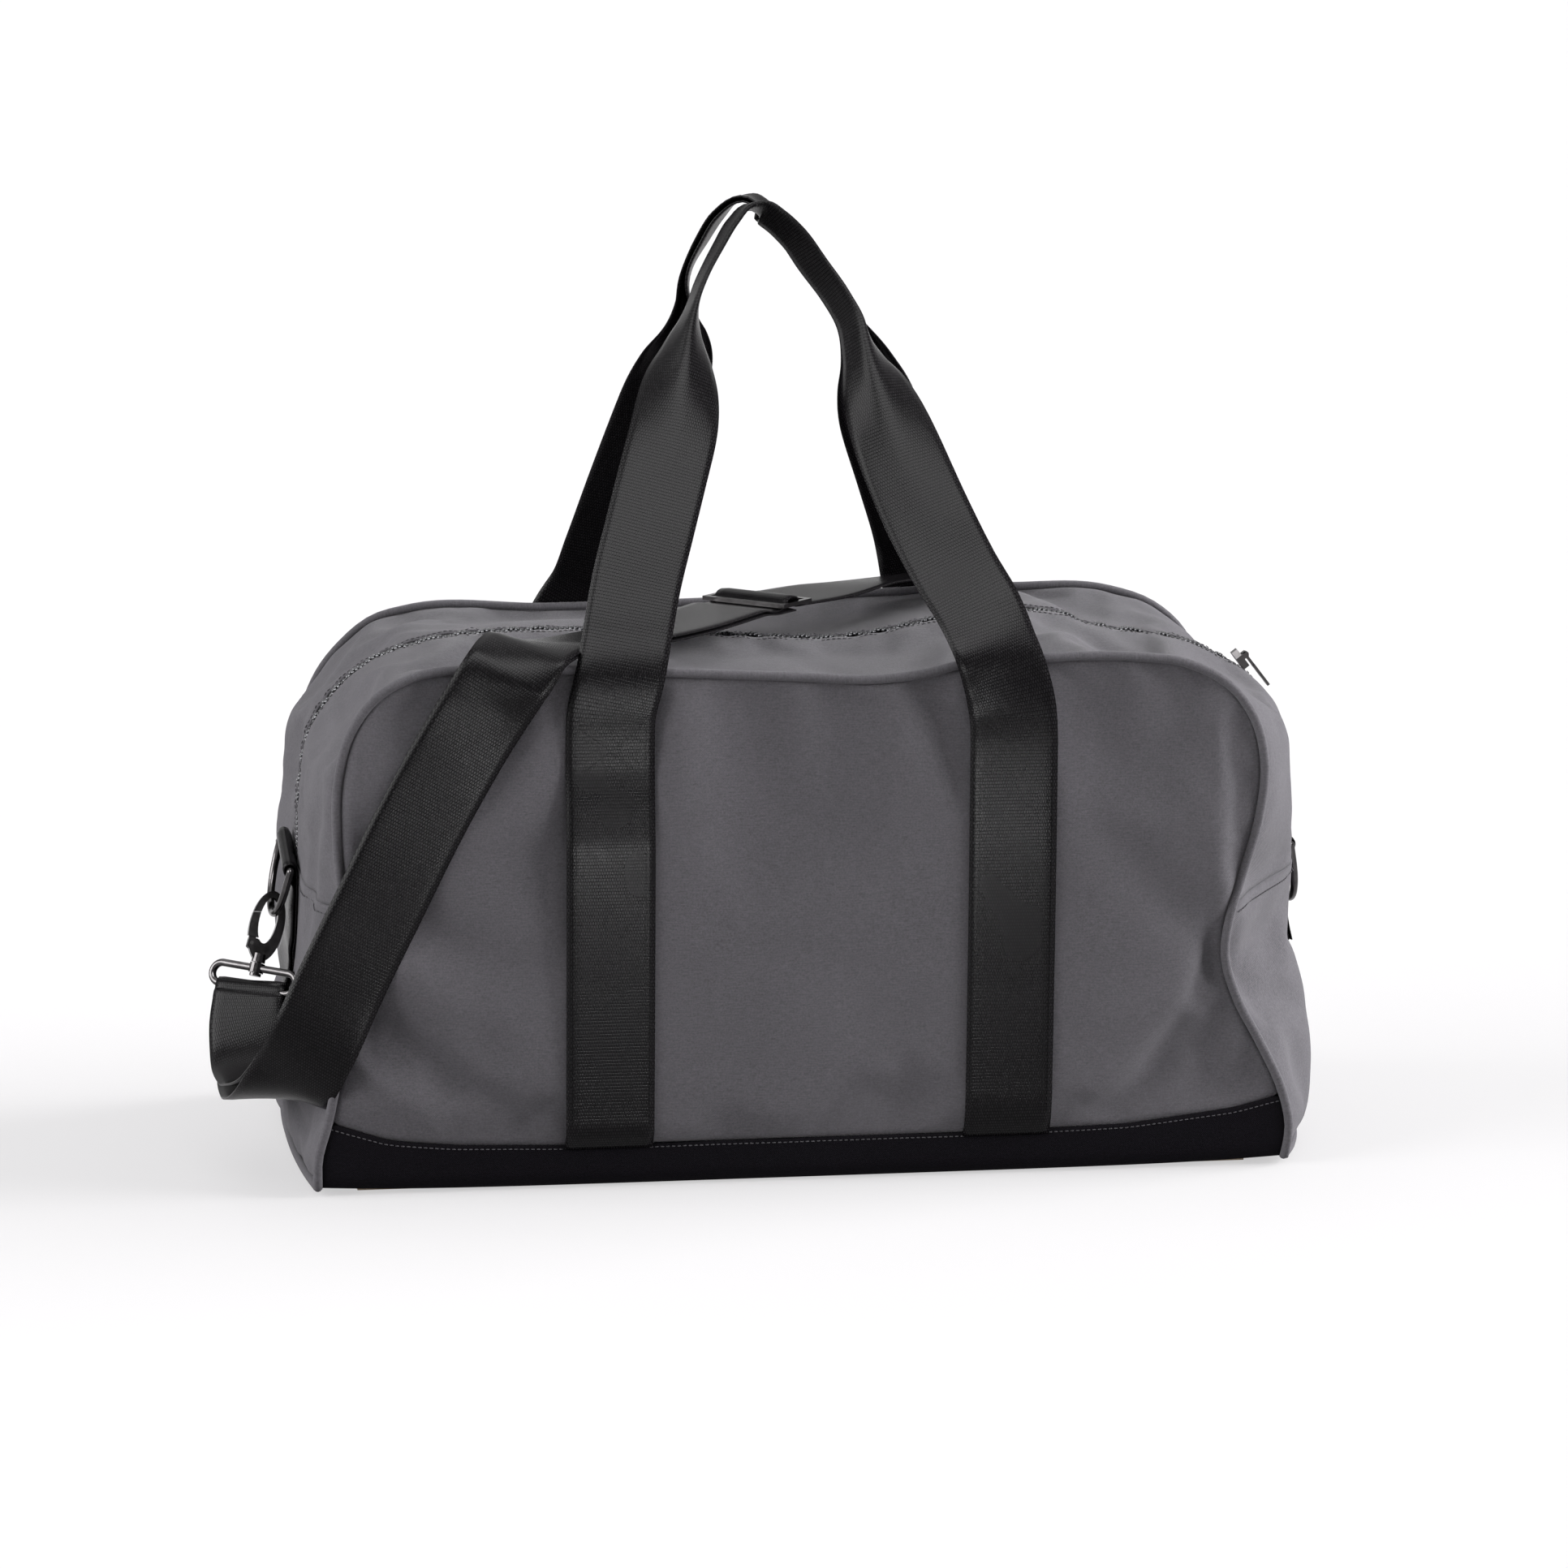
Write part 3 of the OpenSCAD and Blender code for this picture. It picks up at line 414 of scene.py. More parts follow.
def panel_grid(column, y, sign):
    """A panel between its seam and its bottom line, whose seam vertices belong to the band."""
    grid = np.zeros((SIDE + 1, TOP + 1), int)
    left = [np.array(pool[band[i, column]]) for i in range(SIDE + 1)]
    right = [np.array(pool[band[LAST - i, column]]) for i in range(SIDE + 1)]
    top = [np.array(pool[band[SIDE + k, column]]) for k in range(TOP + 1)]
    u = np.linspace(0, 1, TOP + 1)
    bottom = [left[0] * (1 - a) + right[0] * a for a in u]
    for k, a in enumerate(u):
        bottom[k][2] = base_line(a)
    turned_up = np.interp(u, [0, 0.06, 0.13, 0.25, 0.66, 0.83, 0.95, 1], [43, 32, 28, 26, 26, 27.5, 35, 42])

    def between(i, k):
        """A point of the sheet stretched between the panel's four edges."""
        w, a = i / SIDE, u[k]
        return ((1 - w) * bottom[k] + w * top[k] + (1 - a) * left[i] + a * right[i]
                - (1 - a) * (1 - w) * left[0] - a * (1 - w) * right[0]
                - (1 - a) * w * left[-1] - a * w * right[-1])

    for i in range(SIDE + 1):
        for k, a in enumerate(u):
            if k == 0 or k == TOP:
                grid[i, k] = band[i if k == 0 else LAST - i, column]
                continue
            if i == SIDE:
                grid[i, k] = band[SIDE + k, column]
                continue
            p = between(i, k)
            z0, z1, foot = bottom[k][2], top[k][2], between(FOOT, k)[2]
            if i <= FOOT:
                p[2] = z0 + (p[2] - z0) * (turned_up[k] - z0) / (foot - z0)
            else:
                p[2] = z1 - (z1 - p[2]) * (z1 - turned_up[k]) / (z1 - foot)
            belly = math.sin(math.pi * a) ** 0.5 * math.sin(math.pi * min(1, max(0, (p[2] - 6) / 290))) ** 0.7
            p[1] = y + sign * 3.0 * belly
            grid[i, k] = len(pool)
            pool.append(tuple(p))
    return grid


front_grid = panel_grid(0, -FOLD, -1)
back_grid = panel_grid(COLS - 1, FOLD, 1)
bottom_grid = np.zeros((COLS, TOP + 1), int)
for j, v in enumerate(across):
    for k in range(TOP + 1):
        if j in (0, COLS - 1):
            bottom_grid[j, k] = (front_grid if j == 0 else back_grid)[0, k]
        elif k in (0, TOP):
            bottom_grid[j, k] = band[0 if k == 0 else LAST, j]
        else:
            a = k / TOP
            p = np.array(pool[band[0, j]]) * (1 - a) + np.array(pool[band[LAST, j]]) * a
            bottom_grid[j, k] = len(pool)
            pool.append((p[0], v * FOLD, base_line(a) - 0.6 * math.cos(v * math.pi / 2)))
pool = np.array(pool, float)

# The turn from panel to base is rounded.
ROUND = 11.0
low = np.clip(ROUND - pool[:, 2], 0, ROUND)
near = np.clip((np.abs(pool[:, 1]) - 100) / 24, 0, 1)
pool[:, 1] -= np.sign(pool[:, 1]) * near * (ROUND - np.sqrt(np.maximum(ROUND**2 - low**2, 0)))


def rows_of(grid, r0=0, r1=None, c0=0, c1=None):
    """Faces between two rows of a grid, seen from outside the bag."""
    part = grid[r0:None if r1 is None else r1 + 1, c0:c1]
    faces = [(part[i, j], part[i, j + 1], part[i + 1, j + 1], part[i + 1, j])
             for i in range(part.shape[0] - 1) for j in range(part.shape[1] - 1)]
    return faces if grid is front_grid else [q[::-1] for q in faces]


all_quads = rows_of(front_grid) + rows_of(back_grid) + rows_of(band) + rows_of(bottom_grid)


def vertex_normals(points, faces):
    """Outward directions, weighted by the areas of the faces round each point."""
    f = np.array(faces)
    n = np.cross(points[f[:, 2]] - points[f[:, 0]], points[f[:, 3]] - points[f[:, 1]])
    out = np.zeros_like(points)
    for k in range(4):
        np.add.at(out, f[:, k], n)
    return unit(out)


# Folds: (start, end, half width, height). Positive stands up, negative is a hollow.
FOLDS = [
    ((238, -124, 124), (165, -126, 205), 13, -5.0), ((238, -124, 120), (200, -126, 62), 12, -5.0),
    ((244, -124, 150), (214, -126, 232), 8, 3.0), ((228, -126, 108), (172, -126, 92), 12, 3.0),
    ((232, -124, 262), (237, -124, 196), 7, 2.5), ((222, -126, 92), (214, -126, 46), 8, 3.2),
    ((252, -124, 88), (236, -124, 42), 7, 2.6), ((206, -126, 60), (178, -126, 40), 9, -2.6),
    ((-258, -124, 118), (-196, -126, 66), 12, -5.0), ((-262, -124, 84), (-214, -126, 44), 9, 3.4),
    ((-250, -124, 150), (-196, -126, 108), 10, 3.0), ((-186, -126, 92), (-160, -126, 44), 9, -3.0),
    ((-176, -126, 70), (-150, -126, 36), 8, 2.4),
    ((38, -120, 291), (14, -58, 297), 8, -4.5), ((38, -120, 291), (96, -62, 302), 8, 4.0),
    ((62, -118, 293), (78, -40, 299), 10, -3.5), ((150, -60, 303), (190, -20, 300), 10, 3.0),
    ((176, -40, 300), (222, -96, 294), 10, -3.0), ((-214, -70, 292), (-150, -40, 299), 12, -3.5),
    ((-230, -110, 285), (-196, -40, 296), 10, 2.4), ((0, 40, 297), (60, 96, 299), 14, -4.0),
    ((-150, 60, 298), (-90, 100, 295), 12, 3.0), ((-287, -60, 140), (-276, -100, 215), 12, -3.0),
    ((-290, 10, 70), (-280, -84, 30), 12, -3.0), ((309, -20, 60), (282, -104, 96), 11, -3.5),
    ((306, 20, 110), (290, 90, 60), 13, -4.0), ((296, 40, 215), (284, 100, 180), 12, -3.0),
    ((-288, 50, 110), (-276, 100, 60), 13, -4.0), ((-200, 127, 120), (-120, 127, 70), 14, -4.0),
    ((210, 127, 140), (150, 127, 80), 14, -4.0), ((-40, 127, 200), (40, 127, 160), 18, -3.0),
    ((0, -127, 210), (-30, -127, 150), 22, -1.6), ((30, -127, 110), (60, -127, 60), 20, -1.6),
    ((-284, 72, 60), (-280, 72, 230), 30, 8.0), ((-284, -72, 70), (-280, -72, 200), 28, 3.0),
    ((296, -62, 190), (300, -62, 60), 26, 5.0), ((296, 72, 190), (300, 72, 60), 30, 5.0),
]


def folded(points, normals):
    """The points after the folds, each of which fades out along its line."""
    moved = np.zeros(len(points))
    for a, b, width, height in FOLDS:
        a, b = np.array(a, float), np.array(b, float)
        d = b - a
        t = ((points - a) @ d) / (d @ d)
        gap = np.linalg.norm(points - (a + np.clip(t, 0, 1)[:, None] * d), axis=1)
        taper = np.clip(1.15 - 0.55 * np.clip(t, 0, 1), 0, 1)
        moved += height * taper * np.exp(-(gap / width) ** 2)
    return points + normals * moved[:, None]


seams = np.concatenate([band[:, 0], band[:, -1], band[0], band[-1]])
free = np.ones(len(pool))
free[seams] = 0
pool = pool + (folded(pool, vertex_normals(pool, all_quads)) - pool) * free[:, None]

# Each sheet's weave runs along and across it: panels by x and z, base by x and y, band by its length.
panel_uv = pool[:, [0, 2]]
base_uv = pool[:, [0, 1]]
base_sides = np.concatenate([front_grid[:FOOT + 1].ravel(), back_grid[:FOOT + 1].ravel()])
base_uv[base_sides] = panel_uv[base_sides]
band_uv = np.zeros((len(pool), 2))
band_uv[band.ravel(), 0] = np.repeat(lengths(middle_rail), COLS)
band_uv[band.ravel(), 1] = np.tile(across * FOLD, LAST + 1)


CLOTH_FRAMES = 24
CLOTH_CAP = 7.0  # the furthest a point may move


def settle(points, faces, pinned):
    """The canvas is a little larger than its seams, so it ripples: cloth run with the seams held."""
    mesh = bpy.data.meshes.new("settling")
    mesh.from_pydata([tuple(p * MM) for p in points], [], [tuple(map(int, f)) for f in faces])
    obj = bpy.data.objects.new("settling", mesh)
    bpy.context.scene.collection.objects.link(obj)
    group = obj.vertex_groups.new(name="sewn")
    for weight in np.unique(pinned):
        if weight > 0:
            group.add([int(i) for i in np.nonzero(pinned == weight)[0]], float(weight), "REPLACE")
    cloth = obj.modifiers.new("cloth", "CLOTH")
    s = cloth.settings
    s.quality = 5
    s.mass = 0.25
    s.tension_stiffness = 30
    s.compression_stiffness = 30
    s.shear_stiffness = 12
    s.bending_stiffness = 2.0
    s.tension_damping = s.compression_damping = s.shear_damping = 20
    s.air_damping = 3
    s.vertex_group_mass = "sewn"
    s.shrink_min = -0.028
    s.use_pressure = True
    s.uniform_pressure_force = 0.12
    s.effector_weights.gravity = 0.15
    cloth.collision_settings.use_collision = False
    cloth.collision_settings.use_self_collision = False
    cloth.point_cache.frame_start, cloth.point_cache.frame_end = 1, CLOTH_FRAMES
    scene = bpy.context.scene
    for f in range(1, CLOTH_FRAMES + 1):
        scene.frame_set(f)
    shape = obj.evaluated_get(bpy.context.evaluated_depsgraph_get()).to_mesh()
    co = np.zeros(len(points) * 3)
    shape.vertices.foreach_get("co", co)
    moved = co.reshape(-1, 3) / MM - points
    bpy.data.objects.remove(obj)
    scene.frame_set(1)
    size = np.linalg.norm(moved, axis=1, keepdims=True)
    return points + moved * np.minimum(1, CLOTH_CAP / np.maximum(size, 1e-6))


pinned = np.zeros(len(pool))
for held in (seams, base_sides, bottom_grid.ravel()):
    pinned[held] = 1
by_the_tabs = (np.abs(pool[:, 1]) < 34) & (pool[:, 2] > 88) & (pool[:, 2] < 196) & (np.abs(pool[:, 0]) > 255)
pinned[by_the_tabs] = 1
for j in (MID - 1, MID, MID + 1):
    pinned[band[:, j]] = np.maximum(pinned[band[:, j]], 0.9)
pool = settle(pool, all_quads, pinned)

outs = vertex_normals(pool, all_quads)
tree_of_bag = BVHTree.FromPolygons([tuple(p) for p in pool], [tuple(map(int, q)) for q in all_quads])


def surface(origin, direction):
    """Where a line meets the bag, or the bag's nearest point if it misses."""
    hit = tree_of_bag.ray_cast(Vector(origin), Vector(direction))[0]
    return tree_of_bag.find_nearest(Vector(origin))[0] if hit is None else hit


# ---------------------------------------------------------------- sewn panels

def panel(name, faces, uv, material=CANVAS, thickness=1.3, proud=0.0, node=None):
    """One cut piece of cloth in place of its CAD node; proud is how far it stands off the bag's surface."""
    ids = sorted({i for f in faces for i in f})
    index = {v: k for k, v in enumerate(ids)}
    faces = [[index[i] for i in f] for f in faces]
    obj = make(name, pool[ids] + outs[ids] * proud, faces, material, "shell", uv[ids])
    sub = obj.modifiers.new("subdivide", "SUBSURF")
    sub.levels = sub.render_levels = 1
    solid = obj.modifiers.new("thickness", "SOLIDIFY")
    solid.thickness = thickness * MM
    solid.offset = -1
    solid.use_even_offset = False
    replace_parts(obj, node or name)


panel("front_panel", rows_of(front_grid, FOOT, SIDE), panel_uv)
panel("back_panel", rows_of(back_grid, FOOT, SIDE), panel_uv)
panel("front_gusset", rows_of(band, SEAM_LEFT, SEAM_RIGHT, 0, MID), band_uv)
panel("back_gusset", rows_of(band, SEAM_LEFT, SEAM_RIGHT, MID + 1), band_uv)
base_faces = rows_of(front_grid, 0, FOOT) + rows_of(back_grid, 0, FOOT) + rows_of(bottom_grid)
panel("base_panel", base_faces, base_uv, BASE, 1.6, 0.9)
panel("left_end_panel", rows_of(band, 0, SEAM_LEFT), band_uv, proud=0.6)
panel("right_end_panel", rows_of(band, SEAM_RIGHT, LAST), band_uv, proud=0.6)

# The lining hangs just inside the canvas and ends beside the zip tapes.
lining_faces = (rows_of(front_grid, 1, SIDE) + rows_of(back_grid, 1, SIDE)
                + rows_of(band, 1, LAST - 1, 0, MID) + rows_of(band, 1, LAST - 1, MID + 1))
panel("lining_cloth", lining_faces, band_uv, LINING, 0.5, -3.6, "lining")


# ---------------------------------------------------------------- piping

def outward(path):
    """Directions square to a path over the bag, pointing away from the bag."""
    out = unit(np.cross(headings(path), [0, 1, 0]))
    return out if out[len(path) // 2][2] > 0 else -out


for name, column, side in (("front_piping", 0, -1), ("back_piping", COLS - 1, 1)):
    seam = pool[band[:, column]]
    obj = cord(name, seam + outward(seam) * 1.7 + np.array([0, side * 0.6, 0]), 2.7, (0, 1, 0))
    if name == "front_piping":
        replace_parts(obj, "piping")

for name, station in (("left_foot_piping", 0), ("right_foot_piping", LAST)):
    seam = pool[band[station]]
    cord(name, seam + [math.copysign(1.5, seam[0][0]), 0, 0.4], 2.6, (0, 0, 1))

# ---------------------------------------------------------------- zip

SLIDER_AXIS = (226, 236)  # x and z of the middle of the arc that the slider runs on


def under_slider(p, radius):
    """Round the right shoulder the zip stays within the slider's arc."""
    x, z = p[0] - SLIDER_AXIS[0], p[2] - SLIDER_AXIS[1]
    if x < 0 or z < -30:
        return p
    limit = radius + 0.4 * max(0.0, -z)
    scale = min(1.0, limit / max(math.hypot(x, max(z, 0.0)), 1e-6))
    return np.array([SLIDER_AXIS[0] + x * scale, p[1], SLIDER_AXIS[1] + (z * scale if z > 0 else z)])


zip_stations = range(SEAM_LEFT + 2, SEAM_RIGHT - 1)
zip_line = pool[band[zip_stations, MID]]
zip_path = np.array([under_slider(p, 59.2) for p in spline(zip_line, 900)])
zip_out = outward(zip_path)
zip_run = lengths(zip_path)
TAPE_SINK = 2.1  # how far the tapes lie below the canvas

for name, side in (("front_zip_tape", -1), ("back_zip_tape", 1)):
    pts, uv = [], []
    for i, r in zip(zip_stations, lengths(zip_line)):
        columns = [band[i, MID + side * k] for k in range(3)]
        a, b, c = (pool[k] - outs[k] * TAPE_SINK for k in columns)
        for p, y in ((a + (b - a) * 0.07, 0.4), ((a + b) / 2, 2.8), (b, 5.5), ((b + c) / 2, 9.4), (c, 13.3)):
            pts.append(under_slider(p, 57.6))
            uv.append((r, y))
    obj = make(name, pts, grid_faces(len(zip_stations), 5), TAPE, "shell", uv)
    solid = obj.modifiers.new("thickness", "SOLIDIFY")
    solid.thickness = 0.6 * MM
    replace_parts(obj, name)

TOOTH_PITCH = 2.9
# A tooth's four rows: distance from the middle of the zip, half width, bottom, top.
TOOTH_ROWS = ((3.4, 0.95, -1.3, -0.2), (2.6, 1.0, -1.3, 0.35),
              (0.4, 0.9, -1.2, 0.45), (-0.55, 0.5, -0.9, 0.15))

for name, side, first in (("front_zip_teeth", -1, 1.0), ("back_zip_teeth", 1, 1.0 + TOOTH_PITCH / 2)):
    at = np.arange(first, zip_run[-1] - 1, TOOTH_PITCH)
    centre = along(zip_path, zip_run, at)
    ahead = unit(along(zip_path, zip_run, at + 0.5) - centre)
    pts = []
    for p, d, o in zip(centre, ahead, along(zip_out, zip_run, at)):
        for y, w, bottom, top in TOOTH_ROWS:
            for a, h in ((-w, bottom), (-w * 0.7, top), (w * 0.7, top), (w, bottom)):
                pts.append(p + d * a + o * h + np.array([0, side * y, 0]))
    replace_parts(make(name, pts, bead_faces(len(at)), TEETH, "shell"), name)


# ---------------------------------------------------------------- webbing

BAND = 50  # width of the webbing
NOSE = 0.16  # how round the crease of folded webbing is, as a part of its half width
LEGS_X = (-114.5, 114)  # middles of the sewn legs


def webbing(name, rows, body, n, replaced, thickness):
    """A band of webbing. A row is x, y, z, width direction x, y, z, width, fold angle in degrees.
    At fold angle 0 the band is flat; towards 90 its halves close up behind its centre line."""
    r = spline(rows, n)
    path, width, fold = r[:, :3], r[:, 6], np.radians(np.clip(r[:, 7], 0, 88))
    t = headings(path)
    normal = unit(np.cross(r[:, 3:6], t))
    w = np.cross(t, normal)
    steps = np.linspace(-1, 1, 13)
    shape = []
    for s in steps:
        arm = width / 2 * s
        back = width / 2 * (math.sqrt(s * s + NOSE * NOSE) - NOSE)
        shape.append(path + w * (arm * np.cos(fold))[:, None] - normal * (back * np.sin(fold))[:, None])
    mid = np.stack(shape, 1)
    face = unit(np.cross(np.gradient(mid, axis=1), np.gradient(mid, axis=0)))
    edge = np.array([0.45 if abs(s) == 1 else 1.0 for s in steps])[None, :, None] * thickness / 2
    upper, lower = mid + face * edge, mid - face * edge
    loop = np.concatenate([upper, lower[:, ::-1]], 1)
    u = np.concatenate([steps, steps[::-1]]) * BAND / 2
    uv = np.stack(np.broadcast_arrays(u[None, :], lengths(path)[:, None]), -1).reshape(-1, 2)
    obj = make(name, loop.reshape(-1, 3), sleeve(n, loop.shape[1]), WEBBING, body, uv)
    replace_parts(obj, *replaced)
    return obj


def face_y(x, z, side):
    """How far the front or back stands out under a 50 mm band."""
    return max(abs(surface((x + dx, side * 200, z), (0, -side, 0))[1]) for dx in (-24, -12, 0, 12, 24))


def handle_rows(loop, side):
    """Rows of one handle: up the sewn left leg, through the free loop, down the right leg."""
    legs = []
    for x, direction in zip(LEGS_X, (-side, side)):
        legs.append([(x, side * (face_y(x, z, side) + 1.3), z, direction, 0, 0, BAND, 0)
                     for z in range(24, 266, 11)])
    free = []
    for x, y, z, wx, wy, wz, fold in loop:
        if z < 285:
            y = max(y, face_y(x, z, side) + 1.5)
        free.append((x, side * y, z, -side * wx, wy, -side * wz, BAND, fold))
    return legs[0] + free + legs[1][::-1]


# Free part of each handle: x, distance from the middle plane, z, width direction, fold angle.
FRONT_LOOP = [
    (-114, 127.6, 272, 1, 0, 0, 0), (-108.5, 128.4, 296, 1, 0, 0, 0), (-103, 119, 320, 1, 0, 0, 0),
    (-97, 108, 344, 1, 0, 0, 0), (-88, 95, 372, 1, 0, 0, 0), (-78, 80, 402, 1, 0, 0, 2),
    (-70, 68, 426, 1, 0, 0, 10), (-65, 58, 446, 1, 0, 0, 26), (-61, 50, 464, 1, 0, 0, 48),
    (-58, 43, 478, 1, 0, 0, 66), (-53, 36, 493, 1, 0, -0.1, 82), (-46, 31, 508, 1, 0, -0.4, 86),
    (-37, 27, 523, 0.9, 0, -0.5, 86), (-28, 25, 537, 0.85, 0, -0.55, 86),
    (-20, 24, 546, 0.5, -0.15, -0.8, 86), (-11, 24, 548, 0.1, -0.5, -0.85, 86),
    (-1, 24, 542, -0.35, -0.6, -0.7, 86), (9, 24, 533, -0.6, -0.6, -0.55, 84),
    (23, 27, 514, -0.64, -0.6, -0.48, 84), (34, 33, 498, -0.7, -0.5, -0.4, 82),
    (41, 39, 484, -0.8, -0.35, -0.3, 76), (43, 45, 471, -0.95, -0.2, -0.3, 66),
    (45, 52, 458, -1, -0.05, -0.3, 52), (49, 60, 441, -1, 0, -0.3, 34), (56, 72, 417, -1, 0, -0.3, 16),
    (71, 93, 376, -1, 0, -0.3, 4), (84, 107, 348, -1, -0.1, -0.3, 0), (96, 120, 326, -1, -0.15, -0.3, 0),
    (104, 130, 305, -1, -0.2, -0.2, 0), (109, 131, 290, -1, -0.1, -0.1, 0),
    (113, 127.6, 272, -1, 0, 0, 0),
]
BACK_LOOP = [
    (-113, 127.6, 268, 1, 0, 0, 0), (-105, 128.4, 285, 1, 0, 0, 0), (-94, 125, 304, 1, 0, 0, 0),
    (-86, 114, 330, 1, 0, 0, 0), (-77, 99, 362, 1, 0, 0, 0), (-66, 82, 400, 1, 0, 0, 2),
    (-57, 66, 434, 1, 0, 0, 12), (-53, 55, 456, 1, 0, 0, 32), (-51, 47, 474, 1, 0, 0, 56),
    (-50, 38, 492, 1, 0.1, -0.1, 78), (-46, 31, 507, 0.9, 0.3, -0.4, 86),
    (-38, 27, 521, 0.8, 0.4, -0.5, 86), (-29, 25, 535, 0.75, 0.4, -0.55, 86),
    (-20, 24, 545.5, 0.5, 0.1, -0.8, 86), (-11, 24, 548, 0.1, -0.4, -0.85, 86),
    (-1, 24, 542, -0.35, -0.5, -0.7, 86), (9, 24, 533, -0.6, -0.5, -0.55, 84),
    (23, 27, 514, -0.64, -0.5, -0.48, 84), (35, 33, 498, -0.7, -0.4, -0.4, 82),
    (45, 40, 482, -0.8, -0.2, -0.3, 74), (54, 50, 460, -1, 0, -0.2, 56), (61, 60, 441, -1, 0, -0.2, 36),
    (70, 72, 417, -1, 0, -0.2, 14), (88, 97, 373, -1, 0, -0.2, 2), (102, 118, 336, -1, 0, -0.2, 0),
    (110, 133.4, 306, -1, 0, 0, 0), (113, 132.6, 285, -1, 0, 0, 0),
]


def bend_at_hinge(obj):
    """Webbing and stitches of a handle: their placement is baked into the mesh, and they ride on no body."""
    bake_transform(obj)


for name, loop, side in (("front_handle", FRONT_LOOP, -1), ("back_handle", BACK_LOOP, 1)):
    obj = webbing(name + "_webbing", handle_rows(loop, side), None, 420, (name, name + "_legs"), 1.9)
    bend_at_hinge(obj)

# ---------------------------------------------------------------- shoulder strap

LAYER = 1.3  # half the distance between two layers that lie on each other
# From the left hook over the front to the adjuster: rows of the strap's two layers, with half their
# distance in the last column.
DOUBLED = [
    (-307.5, -6, 90, 0.84, -0.54, 0, 45, 3.4), (-308, -10, 76, 0.86, -0.5, 0.06, 47, 5.6),
    (-307, -22, 60, 0.88, -0.42, 0.12, 50, 5.6), (-304, -50, 50, 0.9, -0.44, 0.08, 50, 5.0),
    (-299, -84, 53, 0.89, -0.45, 0.04, 50, 4.0), (-292, -112, 64, 0.87, -0.46, -0.15, 50, 2.6),
    (-282, -130, 88, 0.88, -0.16, -0.45, 50, 1.7), (-266, -132.6, 124, 0.89, 0, -0.455, 50, LAYER),
    (-246, -132.6, 165, 0.89, 0, -0.455, 50, LAYER), (-212, -132, 232, 0.89, 0, -0.455, 50, LAYER),
    (-184, -132, 279, 0.87, 0, -0.5, 50, LAYER), (-171, -131.5, 298.5, 0.84, -0.2, -0.5, 50, LAYER),
    (-161, -123, 308.5, 0.78, -0.5, -0.3, 50, LAYER), (-146, -104, 308, 0.72, -0.7, 0, 50, LAYER),
    (-105, -66, 305, 0.7, -0.7, 0, 50, LAYER), (-64, -27, 305, 0.7, -0.7, 0, 50, LAYER),
    (-26, 16, 307, 0.75, -0.66, 0, 50, LAYER),
]
ADJUSTER = np.array([-6, 38, 309.5])
TURN = math.radians(48)


def on_strap(u, z):
    """A row by the adjuster, u along the strap and z above the adjuster's middle."""
    p = ADJUSTER + [u * math.cos(TURN), u * math.sin(TURN), z]
    return (*p, math.sin(TURN), -math.cos(TURN), 0, BAND, 0)


# Through the adjuster, on over the back edge, and down to the right hook's loop.
THREADED = [on_strap(u, z) for u, z in (
    (-18, -2.9), (-12, -2.5), (-8, -0.4), (-5, 2.4), (-1.5, 3.5), (1.5, 3.5), (5, 2.4), (8, -0.4), (12, -2.5),
    (18, -2.9))]
SINGLE = [
    (38, 68, 308.5, 0.62, -0.78, 0, 50, 0), (72, 88, 310.5, 0.62, -0.78, 0.12, 50, 0),
    (98, 99, 311, 0.6, -0.8, 0.1, 48, 0), (114, 107, 310.5, 0.6, -0.8, 0.05, 44, 0),
    (125, 115, 309, 0.8, -0.6, 0, 40, 0), (131, 123, 305.5, 1, 0, 0, 38, 0),
    (135, 128, 298, 1, 0, 0, 38, 0), (143, 128.2, 289, 1, 0, 0.8, 38, 0),
    (156, 128.2, 279, 0.8, 0, 1, 40, 0), (171, 128.2, 266, 0.8, 0, 0.8, 44, 0),
    (181, 128.2, 244, 0.9, 0, 0.4, 50, 0), (185, 128.6, 205, 1, 0, 0.1, 50, 0),
    (184, 131, 150, 1, 0, 0, 50, 0), (184, 137, 112, 1, 0, 0, 50, 0),
    (184, 143.4, 92, 1, 0, 0, 47, 0), (184, 142.7, 78, 1, 0, 0, 44, 0),
]
SINGLE_END = [
    (184, 149.3, 78, 1, 0, 0, 44, 0), (184, 148.4, 88, 1, 0, 0, 47, 0),
    (184, 142.8, 104, 1, 0, 0, 50, 0), (184, 137.2, 122, 1, 0, 0, 50, 0),
    (184, 134.6, 140, 1, 0, 0, 50, 0),
]


def layer(rows, side, n):
    """Samples of one layer of a doubled band."""
    r = spline(rows, n)
    r[:, :3] += unit(np.cross(r[:, 3:6], headings(r[:, :3]))) * (side * r[:, 7:8])
    r[:, 7] = 0
    return r


BAR_RADIUS = 3.3  # from the middle of a bar to the middle of the webbing round it


def turn_round(centre, start, up, width):
    """Half a turn of webbing round a bar, by way of up, from the row start to the other side."""
    w = unit(start[3:6])
    side = start[:3] - centre
    side = unit(side - w * (side @ w))
    return np.array([[*(centre + BAR_RADIUS * (side * math.cos(a) + up * math.sin(a))), *w, width, 0]
                     for a in np.linspace(0, math.pi, 13)[1:-1]])


